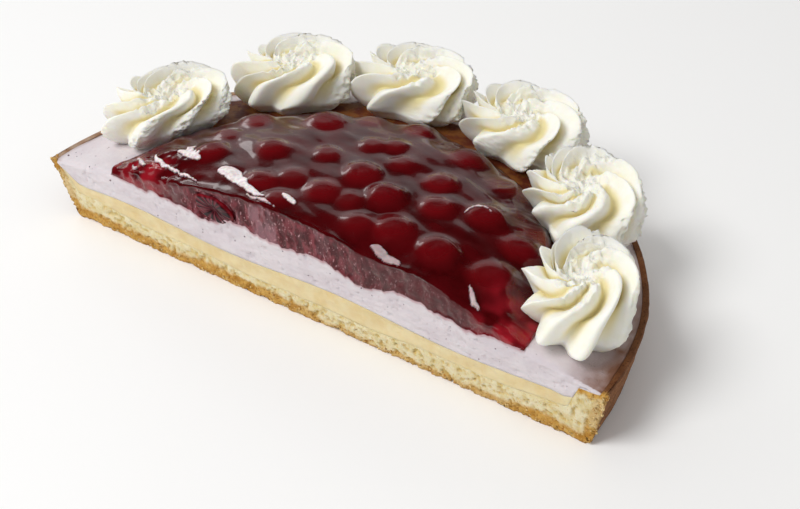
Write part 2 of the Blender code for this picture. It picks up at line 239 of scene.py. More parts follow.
# Fruit mousse: pale pink-grey, airy, with fine bubbles and a few dark specks of fruit.
def mousseFinish():
    finish, tree, shader, place = newFinish("fruitMousse", Roughness=0.6)
    mottle = noiseOf(tree, place, 12.0, 4.0)
    colour = blendColours(tree, spread(tree, mottle, 0.35, 0.7), linear("DDD5D8"), linear("D3C9CE"))
    colour = blendColours(tree, valueOf(tree, "stain"), colour, linear("9C3A48"))
    colour = blendColours(tree, valueOf(tree, "browned"), colour, linear("80563F"))
    syrup = blendColours(tree, spread(tree, noiseOf(tree, place, 8.0, 3.0), 0.4, 0.6), linear("5A2416"), linear("7A4A22"))
    glazed = valueOf(tree, "glazed")
    colour = blendColours(tree, glazed, colour, syrup)
    tree.links.new(math_(tree, "MULTIPLY", glazed, 0.12), shader.inputs["Coat Weight"])
    tree.links.new(spread(tree, glazed, 0.0, 1.0, (0.3, 0.15)), shader.inputs["Specular IOR Level"])
    shader.inputs["Coat Roughness"].default_value = 0.25
    cells = addNode(tree, "ShaderNodeTexVoronoi", {"Vector": place, "Scale": 1.0 / (2.4 * mm)})
    specks = spread(tree, cells.outputs["Distance"], 0.10, 0.17, (1.0, 0.0))
    rare = spread(tree, noiseOf(tree, place, 5.0, 1.0), 0.56, 0.60)
    colour = blendColours(tree, math_(tree, "MULTIPLY", specks, rare), colour, linear("6B5560"))
    tree.links.new(colour, shader.inputs["Base Color"])
    shader.inputs["Subsurface Weight"].default_value = 0.3
    shader.inputs["Subsurface Radius"].default_value = (1.0, 0.75, 0.7)
    shader.inputs["Subsurface Scale"].default_value = 1.5 * mm
    height = math_(tree, "SUBTRACT", noiseOf(tree, place, 1.4, 4.0, 0.7), specks)
    bump(tree, shader, height, 0.5, 0.6)
    return finish


# Cherry jelly: set juice, dark and wet; where it lies thin over a cherry the fruit shows through.
def jellyFinish():
    finish, tree, shader, place = newFinish("cherryJelly", Roughness=0.2, IOR=1.36)
    cut = valueOf(tree, "cut")
    mottle = noiseOf(tree, place, 11.0, 4.0)
    colour = blendColours(tree, spread(tree, mottle, 0.35, 0.7), linear("4C0105"), linear("3A0002"))
    colour = blendColours(tree, valueOf(tree, "fruit"), colour, linear("74040C"))
    colour = blendColours(tree, valueOf(tree, "thin"), colour, linear("9A1422"))
    colour = blendColours(tree, valueOf(tree, "film"), colour, linear("56281A"))
    drawn = addNode(tree, "ShaderNodeMapping", {"Vector": place, "Rotation": (0.0, 0.35, 0.0), "Scale": (1.0, 1.0, 0.45)})
    drawn = drawn.outputs["Vector"]
    fine = noiseOf(tree, drawn, 2.6, 5.0, 0.75)
    pulp = blendColours(tree, spread(tree, fine, 0.4, 0.6), linear("4C1218"), linear("7E353D"))
    pulp = blendColours(tree, math_(tree, "MULTIPLY", valueOf(tree, "fruit"), 0.8), pulp, linear("8C1E2A"))
    haze = math_(tree, "MULTIPLY", spread(tree, noiseOf(tree, drawn, 8.0, 3.0), 0.5, 0.62), valueOf(tree, "haze"))
    pulp = blendColours(tree, haze, pulp, linear("9A747C"))
    pulp = blendColours(tree, math_(tree, "MULTIPLY", spread(tree, noiseOf(tree, drawn, 5.0, 2.0), 0.5, 0.6), 0.6), pulp, linear("3A0C12"))
    pulp = blendColours(tree, spread(tree, noiseOf(tree, drawn, 0.9, 3.0, 0.7), 0.6, 0.66), pulp, linear("B98C90"))
    colour = blendColours(tree, cut, colour, pulp)
    tree.links.new(colour, shader.inputs["Base Color"])
    tree.links.new(spread(tree, cut, 0.0, 1.0, (0.26, 0.5)), shader.inputs["Roughness"])
    tree.links.new(spread(tree, cut, 0.0, 1.0, (0.6, 0.2)), shader.inputs["Coat Weight"])
    shader.inputs["Coat Roughness"].default_value = 0.06
    shader.inputs["Coat IOR"].default_value = 1.4
    tree.links.new(spread(tree, valueOf(tree, "cover"), 0.0, 2.0, (0.4, 1.0)), shader.inputs["Alpha"])
    grain = math_(tree, "MULTIPLY", fine, cut)
    sag = math_(tree, "MULTIPLY", noiseOf(tree, place, 6.0, 2.0), 0.25)
    bump(tree, shader, math_(tree, "ADD", grain, sag), 1.0, 0.6)
    return finish


# Stoned sour cherries: tight dark-red skin under a wet film.
def cherryFinish():
    finish, tree, shader, place = newFinish("sourCherry", Roughness=0.3, IOR=1.36)
    mottle = noiseOf(tree, place, 5.0, 4.0)
    colour = blendColours(tree, spread(tree, mottle, 0.35, 0.7), linear("860616"), linear("62040F"))
    fibre = blendColours(tree, spread(tree, valueOf(tree, "fibre"), 0.25, 0.8), linear("1C0407"), linear("6E2430"))
    colour = blendColours(tree, valueOf(tree, "flesh"), colour, fibre)
    tree.links.new(colour, shader.inputs["Base Color"])
    shader.inputs["Subsurface Weight"].default_value = 0.1
    shader.inputs["Subsurface Radius"].default_value = (1.0, 0.1, 0.1)
    shader.inputs["Subsurface Scale"].default_value = 2.0 * mm
    bump(tree, shader, noiseOf(tree, place, 3.0, 4.0), 0.5, 0.25)
    return finish


# Whipped dairy cream: matt-satin, light passes a little way through the thin crests.
def creamFinish():
    finish, tree, shader, place = newFinish("whippedCream", Roughness=0.5)
    deep = valueOf(tree, "deep")
    mottle = noiseOf(tree, place, 6.0, 4.0)
    colour = blendColours(tree, spread(tree, mottle, 0.35, 0.7), linear("FBF9EF"), linear("F7F4E6"))
    # painted shade: the grooves are tinted a darker yellow, standing for the shade that falls in them
    colour = blendColours(tree, deep, colour, linear("E4D48E"))
    tree.links.new(colour, shader.inputs["Base Color"])
    shader.inputs["Specular IOR Level"].default_value = 0.35
    shader.inputs["Subsurface Weight"].default_value = 0.5
    shader.inputs["Subsurface Radius"].default_value = (1.0, 0.8, 0.5)
    shader.inputs["Subsurface Scale"].default_value = 2.0 * mm
    curds = math_(tree, "MULTIPLY", noiseOf(tree, place, 1.2, 4.0, 0.75), spread(tree, valueOf(tree, "torn"), 0.0, 1.0, (0.3, 1.7)))
    bump(tree, shader, curds, 0.3, 0.7)
    return finish


# Cream smeared thin over the jelly: juice tints it and shows through at its edges.
def smearFinish():
    finish, tree, shader, place = newFinish("smearedCream", Roughness=0.35)
    skim = valueOf(tree, "skim")
    mottle = noiseOf(tree, place, 1.8, 3.0)
    colour = blendColours(tree, spread(tree, mottle, 0.4, 0.65), linear("F3ECEA"), linear("DCCBCE"))
    colour = blendColours(tree, skim, colour, linear("B98F96"))
    tree.links.new(colour, shader.inputs["Base Color"])
    tree.links.new(spread(tree, skim, 0.1, 1.0, (1.0, 0.25)), shader.inputs["Alpha"])
    shader.inputs["Subsurface Weight"].default_value = 0.3
    shader.inputs["Subsurface Scale"].default_value = 1.5 * mm
    return finish


# Toasted crumbs broken off the crust.
def crumbFinish():
    finish, tree, shader, place = newFinish("toastedCrumbs", Roughness=0.85)
    tone = noiseOf(tree, place, 1.5, 2.0)
    colour = blendColours(tree, spread(tree, tone, 0.4, 0.6), linear("E6CB90"), linear("BA8740"))
    tree.links.new(colour, shader.inputs["Base Color"])
    bump(tree, shader, noiseOf(tree, place, 0.4, 3.0), 0.2, 0.6)
    return finish


# Shreds of cherry skin in the mousse.
def fleckFinish():
    finish, tree, shader, place = newFinish("cherrySkinShreds", Roughness=0.5)
    tone = noiseOf(tree, place, 2.0, 2.0)
    colour = blendColours(tree, spread(tree, tone, 0.4, 0.6), linear("5A3240"), linear("8A6474"))
    tree.links.new(colour, shader.inputs["Base Color"])
    return finish


finishes = {
    "smear": smearFinish(),
    "crumbs": crumbFinish(),
    "flecks": fleckFinish(),
    "pastry": pastryFinish(),
    "custard": custardFinish(),
    "mousse": mousseFinish(),
    "jelly": jellyFinish(),
    "cherry": cherryFinish(),
    "cream": creamFinish(),
}
print("finishes made")

# ---------- the shape of each layer ----------

crust = {
    "rimRadius": 135.0,
    "rimHeight": 26.4,
    "rimBand": 3.0,
    "rimRounding": 1.2,
    "rimSag": 2.1,
    "wall": (5.8, 11.5),  # thickness at the thin and at the thick end
    "flare": (11.8, 4.4),
    "ledgeStep": 1.4,
    "ledge": (3.4, 1.9),
    "footRounding": 2.3,
    "floor": (9.0, 12.4),  # height in the middle and out at the edge
    "floorEdgeAt": 112.0,
    "corner": (4.7, 2.2),
    "thickEnd": 24.0,  # degrees round from the cut
}
custard = {"top": 17.4, "wave": 1.3, "climb": 1.5, "cove": 5.0, "lining": (3.0, 0.5)}
mousse = {"underJelly": 32.4, "atJelly": 31.0, "belowRim": 0.5, "wave": 0.7}
jelly = {
    "radius": 99.0,
    "wander": 0.8,
    "rise": 15.0,
    "edge": 1.0,
    "shelf": 22.0,
    # where the knife went through: height of its upper edge at distances along the cut
    "edgeAt": (-97, -90, -76, -59, -43, -28, -11, 4, 16, 27, 38, 49, 57, 66, 74, 82, 90, 97),
    "edgeHeight": (34.2, 36.8, 38.8, 41.2, 45.0, 47.0, 48.0, 47.5, 46.3, 45.2, 43.6, 45, 44.6, 42, 39, 37, 34.6, 31.8),
    "swell": 0.9,
    "cover": 0.35,
}


def thickEnd(b):
    return ease(1.0 - b / math.radians(crust["thickEnd"]))


def rimRadius(b):
    return crust["rimRadius"] - crust["rimSag"] * thickEnd(b)


def outerWall(b, z):
    flare = mix(crust["flare"][1], crust["flare"][0], ease(b / math.pi))
    return rimRadius(b) - flare * (1.0 - np.minimum(1.0, z / crust["rimHeight"]))


def wallThickness(b):
    return mix(crust["wall"][0], crust["wall"][1], thickEnd(b))


def ledgeHeight(b):
    return crust["rimHeight"] - mix(crust["ledge"][0], crust["ledge"][1], thickEnd(b))


def wallFoot(b):
    edge = crust["floor"][1]
    return outerWall(b, edge) - wallThickness(b) - 0.8, edge + crust["corner"][1]


def innerWall(b, z):
    lowDistance, low = wallFoot(b)
    up = (z - low) / (ledgeHeight(b) - low)
    return mix(lowDistance, rimRadius(b) - wallThickness(b), up)


def floorHeight(b, d):
    wave = 0.5 * np.sin(d * np.cos(b) / 9.0 + 1.3) * np.minimum(1.0, d / 20.0)
    return mix(crust["floor"][0], crust["floor"][1], np.minimum(1.0, d / crust["floorEdgeAt"]) ** 2.4) + wave


def custardTop(b, d):
    wave = np.sin(d * np.cos(b) / 17.0 + 0.6) + 0.5 * np.sin(d * np.sin(b) / 13.0)
    return custard["top"] + custard["wave"] * wave


def jellyRadius(b):
    return jelly["radius"] + jelly["wander"] * np.sin(5.0 * b + 0.8) * np.sin(b)


def mousseTop(b, d):
    # under the jelly it is uneven, with a dip where a cherry was pressed in and one nearer the thick end
    edge = jellyRadius(b)
    out = np.clip((d - edge) / (rimRadius(b) - crust["rimBand"] - edge), 0.0, 1.0)
    ring = mix(mousse["atJelly"], crust["rimHeight"] - mousse["belowRim"], out**1.15)
    x, y = d * np.cos(b), d * np.sin(b)
    middle = mousse["underJelly"] + mousse["wave"] * np.sin(x / 7.0) * np.cos(y / 9.0 + 0.4)
    near = np.exp(-((y / 9.0) ** 2))
    place = np.stack([x, y, 0.0 * x], axis=-1)
    middle = middle - near * 4.2 * np.exp(-(((x + 48.0) / 7.5) ** 2))
    middle = middle - near * 3.2 * np.exp(-(((x - 27.0) / 10.0) ** 2))
    middle = middle - near * 2.0 * ease((np.abs(x) - 40.0) / 30.0)
    middle = middle + near * (0.9 * softNoise(place, 4.0, 3) + 0.6 * softNoise(place, 1.5, 4))
    under = mix(mousse["atJelly"], middle, ease((edge - d) / jelly["shelf"]))
    return np.where(d > edge, ring, under)


# ---------- cherries ----------

# bearing from the middle of the cut in degrees, distance and rise above the jelly in mm, size
cherries = {
    "halfWidth": 8.3,
    "halfDepth": 7.9,
    "halfHeight": 6.8,
    "turn": 47.0,
    "places": [
        (13, 77, 3.4, 1.12), (28, 84, 2.6, 1.0), (17, 55, 3.6, 1.04), (40, 72, 2.8, 1.0),
        (27, 37, 3.8, 1.1), (45, 54, 1.6, 0.98), (61, 62, 1.4, 0.94), (72, 84, 3.0, 1.04),
        (60, 37, 3.8, 1.0), (91, 86, 1.8, 0.92), (87, 40, 3.2, 1.04), (101, 22, 2.0, 0.96),
        (118, 76, 4.2, 1.16), (154, 32, 2.0, 0.96), (138, 53, 2.2, 0.92), (139, 83, 2.8, 0.94),
        (160, 64, 3.0, 0.94),
    ],
}
# the same for cherries that lie wholly under the jelly and only lift it a little
sunkCherries = [
    (97, 62, 0.9, 0.8), (89, 66, 0.8, 0.7), (79, 57, 0.6, 0.8), (131, 30, 0.7, 0.9), (154, 17, 0.8, 0.9),
    (31, 23, 0.9, 0.9), (112, 48, 0.7, 0.8), (70, 24, 0.5, 0.8), (35, 92, 0.6, 0.9), (150, 75, 0.6, 0.8),
    (57, 88, 0.7, 0.9), (105, 84, 0.5, 0.8),
]


def jellyDome(b, d):
    share = np.minimum(1.0, d / jellyRadius(b))
    rise = 1.0 - 0.35 * share**2 - 0.65 * share**6
    return mousse["atJelly"] + jelly["edge"] + jelly["rise"] * rise


def bareJelly(b, d):
    # the dome without its cherries: long slack waves, and sunk where the knife went through
    x, y = d * np.cos(b), d * np.sin(b)
    base = jellyDome(b, d)
    inwards = ease((jellyRadius(b) - d) / 12.0)
    slanted = np.stack([0.45 * x - 0.2 * y, 0.9 * y + 0.3 * x, 0.0 * x], axis=-1)
    base = base + inwards * (jelly["swell"] + 0.75 * softNoise(slanted, 9.0, 11) + 0.3 * softNoise(slanted, 4.5, 12))
    ran = np.stack([99.0 * b + 0.0 * x, 0.25 * d, 0.0 * x], axis=-1)
    folds = mix(0.9, 1.8, ease((x - 55.0) / 20.0)) * ease((d - 80.0) / 10.0) * ease((jellyRadius(b) - d) / 2.0 + 0.3)
    folds = folds * roughNoise(ran, 5.0, 14)
    base = base + folds
    lumps = ease((-x - 58.0) / 12.0) * ease((22.0 - y) / 10.0) * ease((jellyRadius(b) - d) / 3.0)
    place = np.stack([x, y, 0.0 * x], axis=-1)
    base = base + lumps * 1.5 * roughNoise(place, 4.5, 15)
    sunk = np.exp(-((y / 11.0) ** 2))
    atCut = np.interp(x, jelly["edgeAt"], jelly["edgeHeight"]) + 0.5 * softNoise(slanted, 4.0, 13)
    atCut = atCut + lumps * 1.2 * roughNoise(place, 4.0, 16) + 0.7 * folds
    return mix(base, atCut, sunk)


def cherryPlace(spec):
    # its middle, and half its height: pressed flatter where the jelly is shallow
    bearing, distance, proud, size = math.radians(spec[0]), spec[1], spec[2], spec[3]
    base = mousse["underJelly"] + mousse["wave"] + 0.5
    top = float(bareJelly(bearing, np.array(distance))) + 0.52 * proud
    halfHeight = min(cherries["halfHeight"] * size, (top - base) / 2.0)
    return np.array((distance * math.cos(bearing), distance * math.sin(bearing), top - halfHeight)), halfHeight


bedded = [(spec, *cherryPlace(spec)) for spec in cherries["places"] + sunkCherries]


def jellySurface(b, d):
    # drawn up over each cherry; also how much fruit shows through and how thick the jelly lies over it
    x, y = d * np.cos(b), d * np.sin(b)
    top = bareJelly(b, d)
    fruit = np.zeros_like(top)
    fruitTop = np.full_like(top, -99.0)
    uneven = 1.0 + 0.08 * softNoise(np.stack([x, y, 0.0 * x], axis=-1), 6.0, 18)
    for spec, centre, halfHeight in bedded:
        width = cherries["halfWidth"] * spec[3]
        away = np.hypot(x - centre[0], y - centre[1]) / width
        cap = centre[2] + halfHeight
        swell = cap + jelly["cover"] - 0.62 * halfHeight * (np.sqrt(1.0 + (1.25 * away * uneven) ** 4) - 1.0)
        sharp = 1.35
        gap = np.clip((top - swell) / sharp, -30.0, 30.0)
        top = top + ease((jellyRadius(b) - d) / 4.0) * np.where(gap <= -30.0, swell - top, sharp * np.logaddexp(0.0, -gap))
        if spec[2] > 1.0:
            ball = centre[2] + halfHeight * np.sqrt(np.clip(1.0 - away**2, 0.0, 1.0))
            fruitTop = np.maximum(fruitTop, np.where(away < 1.0, ball, -99.0))
        fruit = np.maximum(fruit, ease(1.3 - away) * mix(0.45, 0.8, spec[2] > 1.0))
    return top, fruit, top - fruitTop


def groundHeight(x, y):
    y = np.maximum(y, 0.0)
    b, d = np.arctan2(y, x), np.hypot(x, y)
    top = jellySurface(b, d)[0]
    ring = mousseTop(b, d)
    inside = d < jellyRadius(b)
    onMousse = d < rimRadius(b) - crust["rimBand"]
    return np.where(inside, top, np.where(onMousse, ring, crust["rimHeight"]))


# ---------- building a layer ----------

def alongPath(path, shares):
    # points at even shares of a path's length
    path = np.asarray(path, dtype=float)
    steps = np.concatenate([[0.0], np.cumsum(np.hypot(*np.diff(path, axis=0).T))])
    at = np.asarray(shares) * steps[-1]
    return np.stack([np.interp(at, steps, path[:, 0]), np.interp(at, steps, path[:, 1])], axis=-1)


def layerMesh(bearings, lower, upper, rows):
    # lower and upper hold (distance, height) for each bearing and station; rows is how many cross the cut
    count, stations = lower.shape[:2]
    cosB, sinB = np.cos(bearings)[:, None], np.sin(bearings)[:, None]
    cosB[-1], sinB[-1], sinB[0] = -1.0, 0.0, 0.0

    def place(sheet):
        return np.stack([sheet[..., 0] * cosB, sheet[..., 0] * sinB, sheet[..., 1]], axis=-1)

    sheets = [(place(lower), gridFaces(count, stations), 0.0), (place(upper), gridFaces(count, stations), 1.0)]
    share = np.linspace(0.0, 1.0, rows)
    side = mix(lower[:, -1:, :], upper[:, -1:, :], share[None, :, None])
    sheets.append((place(side), gridFaces(count, rows), share))
    for end in (0, -1):
        across = mix(lower[end][:, None, :], upper[end][:, None, :], share[None, :, None])
        flat = np.stack([across[..., 0] * cosB[end], 0.0 * across[..., 0], across[..., 1]], axis=-1)
        sheets.append((flat, gridFaces(stations, rows), share))
    points, faces, across, start = [], [], [], 0
    for made, corners, level in sheets:
        points.append(made.reshape(-1, 3))
        faces.append(corners + start)
        across.append((level + np.zeros(made.shape[:2])).ravel())
        start += points[-1].shape[0]
    return np.concatenate(points) * mm, np.concatenate(faces), np.concatenate(across)


def onCut(points):
    return points[:, 1] < 1e-9


def alongCut(points):
    return points * (1.0, 0.0, 1.0)


def seam(relief, nearness):
    # neighbouring layers stay level where they meet
    return mix(relief, 0.45, ease(nearness))


def pushIn(points, relief, reach=9.0):
    # the cut face moves in by its relief, and what lies just behind it makes room
    y = points[:, 1] / mm
    near = y < reach
    points[near, 1] += (relief * (1.0 - y / reach))[near] * mm


# ---------- crust ----------

def crustSheets(bearings, stations, floorShare=0.76):
    lower, upper = [], []
    inner = int(stations * floorShare)
    low = np.linspace(0.0, 1.0, inner)
    high = np.linspace(0.0, 1.0, stations - inner + 1)[1:]
    top = crust["rimHeight"]
    for b in bearings:
        foot, rim = outerWall(b, 0.0), rimRadius(b)
        rounding, rimRound = crust["footRounding"], crust["rimRounding"]
        floorEnd = foot - rounding
        base = np.stack([low * floorEnd, 0.0 * low], axis=-1)
        wall = [(floorEnd, 0.0), (foot - 0.55 * rounding, 0.12 * rounding), (foot - 0.2 * rounding, 0.4 * rounding)]
        wall += [(outerWall(b, z) + 0.3 * math.sin(math.pi * z / top), z) for z in (2.3, 6.0, 10.0, 14.5, 19.0, 23.0)]
        wall += [(rim, top - rimRound), (rim - 0.3 * rimRound, top - 0.3 * rimRound), (rim - rimRound, top)]
        lower.append(np.concatenate([base, alongPath(wall, high)]))
        footIn, footTop = wallFoot(b)
        turn = footIn - crust["corner"][0]
        d = low * turn
        floor = np.stack([d, floorHeight(b, d)], axis=-1)
        rise = [(turn, float(floorHeight(b, turn))), (mix(turn, footIn, 0.7), footTop - 1.4), (footIn, footTop)]
        rise += [(innerWall(b, ledgeHeight(b)), ledgeHeight(b))]
        rise += [(rim - crust["rimBand"] - 0.3, top - crust["ledgeStep"]), (rim - crust["rimBand"], top - 0.3)]
        rise += [(rim - rimRound, top)]
        upper.append(np.concatenate([floor, alongPath(rise, high)]))
    return np.array(lower), np.array(upper)


def buildCrust():
    bearings = np.linspace(0.0, math.pi, 150)
    lower, upper = crustSheets(bearings, 260)
    points, faces, across = layerMesh(bearings, lower, upper, 22)
    flat = points / mm
    cut = onCut(points)
    distance = np.hypot(flat[:, 0], flat[:, 1])
    bearing = np.arctan2(np.maximum(flat[:, 1], 0.0), flat[:, 0])
    outer = outerWall(bearing, flat[:, 2])
    fromSkin = np.minimum(flat[:, 2], outer - distance)
    # the torn crumb: open pores and a ragged lower lip, always behind the plane of the cut
    flatCut = alongCut(points)
    pores = 0.6 * ease((roughNoise(flatCut, 2.8 * mm, 21) - 0.1) / 0.4) + 0.8 * ease((roughNoise(flatCut, 1.4 * mm, 28) - 0.12) / 0.3)
    fine = np.clip(roughNoise(flatCut, 1.0 * mm, 22), -0.5, 1.0) + 0.5
    lip = ease(1.0 - fromSkin / 1.6) * (0.5 + 0.5 * softNoise(flatCut, 3.0 * mm, 23))
    relief = np.maximum(0.8 * pores + 0.6 * fine + 0.9 * lip - 0.4, 0.02)
    pushIn(points, seam(relief, (across - 0.84) / 0.14))
    # the outside: small dents, never past the tin's line
    onWall = (~cut) & (outer - distance < 0.6) & (flat[:, 2] > 0.6)
    dent = (0.35 * (1.0 + roughNoise(points, 6.0 * mm, 24)) + 0.15 * (1.0 + softNoise(points, 1.8 * mm, 25))) * mm
    points[onWall, 0] -= (dent * np.cos(bearing))[onWall]
    points[onWall, 1] -= (dent * np.sin(bearing))[onWall]
    edge = fromSkin + 1.1 * roughNoise(flatCut, 2.6 * mm, 26) + 0.9 * softNoise(flatCut, 9.0 * mm, 27)
    # the base is baked darker toward the thin end and just short of the thick one
    paler = ease((flat[:, 0] + 20.0) / 40.0) * ease((104.0 - flat[:, 0]) / 20.0)
    reachOfToast = mix(6.2, 4.6, paler) + 1.2 * softNoise(flatCut, 16.0 * mm, 31)
    toast = ease((reachOfToast - edge) / 2.4) * mix(0.55, mix(1.0, 0.8, paler), flat[:, 2] < 9.0)
    ledge = ledgeHeight(bearing) - flat[:, 2]
    overWall = distance > rimRadius(bearing) - wallThickness(bearing) - 1.0
    toast = np.maximum(toast, np.where(overWall, ease((2.6 - ledge + 1.2 * softNoise(flatCut, 2.0 * mm, 30)) / 1.6), 0.0))
    baked = np.where(cut, 0.6 * ease((0.5 - fromSkin) / 0.4), 1.0)
    smear = ease((flat[:, 2] - crust["rimHeight"] + 1.0) / 0.7) * ease((bearing - 0.8) / 1.2)
    smear = smear * ease(0.6 + 0.8 * softNoise(points, 4.0 * mm, 29))
    rim = ease((flat[:, 2] - crust["rimHeight"] + 2.0) / 1.5) * ease((1.9 - bearing) / 1.2) * (0.75 + 0.4 * softNoise(points, 5.0 * mm, 33))
    # the pore mask also goes to the material, where it paints shade into the pores
    values = {"rim": np.where(cut, 0.0, np.clip(rim, 0.0, 1.0)), "smear": np.where(cut, 0.0, smear), "toast": toast, "baked": baked, "pore": np.where(cut, np.clip(pores, 0.0, 1.0), 0.0)}
    # crumbs hold on along the lower lip of the cut
    values["crumbly"] = np.where(cut, ease((4.5 - fromSkin) / 3.0), 0.0)
    piece = makePiece("crustBaked", points, faces, finishes["pastry"], values)
    dress(piece, "pastry", "crust")


buildCrust()
print("crust made")


# ---------- custard ----------

def custardSheets(bearings, stations):
    lower, upper = [], []
    share = np.linspace(0.0, 1.0, stations)
    for b in bearings:
        end = thickEnd(b)
        lining = mix(custard["lining"][0], custard["lining"][1], end)
        high = float(mix(ledgeHeight(b) - 0.4, custard["top"] + custard["climb"], end))
        low = custard["top"] + custard["climb"]
        footIn, footTop = wallFoot(b)
        turn = footIn - crust["corner"][0]
        d = np.linspace(0.0, turn, 60)
        path = list(zip(d, floorHeight(b, d) - 0.15)) + [(mix(turn, footIn, 0.7), footTop - 1.5), (footIn, footTop)]
        path.append((innerWall(b, high), high))
        lower.append(alongPath(path, share))
        wall = innerWall(b, low) - lining
        d = np.linspace(0.0, wall - 8.0, 60)
        path = list(zip(d, custardTop(b, d))) + [(wall - custard["cove"] + 2.0, custard["top"] + 0.5)]
        path += [(wall, mix(low, high, 0.12)), (innerWall(b, high) - 0.35 * lining, high)]
        upper.append(alongPath(path, share))
    return np.array(lower), np.array(upper)


def buildCustard():
    bearings = np.linspace(0.0, math.pi, 70)
    lower, upper = custardSheets(bearings, 170)
    points, faces, across = layerMesh(bearings, lower, upper, 14)
    flatCut = alongCut(points)
    relief = 0.5 + 0.4 * softNoise(flatCut, 9.0 * mm, 31) + 0.35 * roughNoise(flatCut, 3.0 * mm, 32)
    pushIn(points, seam(np.maximum(relief, 0.05), (0.2 - np.minimum(across, 1.0 - across)) / 0.15))
    piece = makePiece("custardLayer", points, faces, finishes["custard"])
    dress(piece, "custard", "custard")


buildCustard()
print("custard made")


# ---------- mousse ----------

def mousseSheets(bearings, inner, outer):
    # inner stations lie under the jelly, outer ones on the ring that shows
    lower, upper = [], []
    _, custardUpper = custardSheets(bearings, 170)
    for b, below in zip(bearings, custardUpper):
        rim = rimRadius(b)
        brink = rim - crust["rimBand"] - 0.15
        path = list(below - (0.0, 0.1)) + [(innerWall(b, ledgeHeight(b)), ledgeHeight(b) - 0.1)]
        path += [(brink, crust["rimHeight"] - crust["ledgeStep"] - 0.1)]
        lower.append(alongPath(path, np.linspace(0.0, 1.0, inner + outer)))
        edge = jellyRadius(b)
        d = np.concatenate([np.linspace(0.0, edge - 3.0, inner), np.linspace(edge - 3.0, brink, outer + 1)[1:]])
        upper.append(np.stack([d, mousseTop(b, d)], axis=-1))
    return np.array(lower), np.array(upper)


def buildMousse():
    bearings = np.linspace(0.0, math.pi, 170)
    lower, upper = mousseSheets(bearings, 150, 50)
    points, faces, across = layerMesh(bearings, lower, upper, 20)
    flat = points / mm
    cut = onCut(points)
    distance = np.hypot(flat[:, 0], flat[:, 1])
    bearing = np.arctan2(np.maximum(flat[:, 1], 0.0), flat[:, 0])
    surface = mousseTop(bearing, distance)
    drag = points * (0.4, 0.0, 1.6)  # the knife dragged it along the cut
    relief = 0.45 + 0.35 * softNoise(drag, 8.0 * mm, 41) + 0.4 * roughNoise(drag, 1.8 * mm, 42, 4)
    pits = ease((roughNoise(points, 2.2 * mm, 43) - 0.42) / 0.2)
    brink = 1.5 * ease(1.0 - (surface - flat[:, 2]) / 1.4) * (distance > jellyRadius(bearing) - 1.0)
    relief = seam(np.maximum(relief, 0.05) + 0.6 * pits, (0.12 - across) / 0.1)
    pushIn(points, seam(relief, ((across - 0.9) / 0.1) * (distance < jellyRadius(bearing))) + brink)
    onTop = (~cut) & (np.abs(surface - flat[:, 2]) < 0.02) & (distance > jellyRadius(bearing) - 4.0)
    points[onTop, 2] += (0.3 * softNoise(points, 12.0 * mm, 44) - 0.25 * pits)[onTop] * mm
    # juice from the jelly has soaked in along its lower edge
    below = surface - flat[:, 2] + 0.5 * softNoise(points, 2.0 * mm, 45)
    under = ease((jellyRadius(bearing) + 1.0 - distance) / 2.0)
    stain = 0.6 * ease(1.0 - below / 1.7) * under
    # a thin edge of it has browned against the pastry, most at the thick end
    rimGap = rimRadius(bearing) - crust["rimBand"] - distance + 1.5 * softNoise(points, 6.0 * mm, 46)
    right = ease(1.0 - bearing / 0.8)
    browned = (1.0 - np.clip(rimGap / mix(3.0, 19.0, right), 0.0, 1.0)) ** 1.3
    browned = browned * (1.0 + 0.4 * roughNoise(points, 3.0 * mm, 48)) * mix(0.5, 1.0, right)
    browned = np.clip(np.where(surface - flat[:, 2] < 0.6, browned, 0.0), 0.0, 1.0)
    # juice ran out over it at the back, in among the cream
    seep = jellyRadius(bearing) + 20.0 + 9.0 * ease((bearing - 2.2) / 0.2) + 3.0 * softNoise(points, 9.0 * mm, 47) - distance
    glazed = ease(seep / 2.0) * ease((bearing - 0.42) / 0.15) * ease((2.72 - bearing) / 0.12)
    glazed = np.where(surface - flat[:, 2] < 0.8, glazed, 0.0)
    seen = np.where(cut, 0.35, (surface - flat[:, 2] < 0.6) & (distance > jellyRadius(bearing) + 1.0))
    values = {"stain": stain, "browned": browned, "glazed": glazed, "open": seen * (across > 0.15)}
    piece = makePiece("mousseLayer", points, faces, finishes["mousse"], values)
    dress(piece, "mousse", "mousse")


buildMousse()
print("mousse made")


# ---------- cherry jelly ----------

# half a cherry that the knife went through
cutCherry = {"x": -43.5, "z": 34.9, "halfWidth": 9.6, "halfHeight": 6.0, "tilt": -12.0}


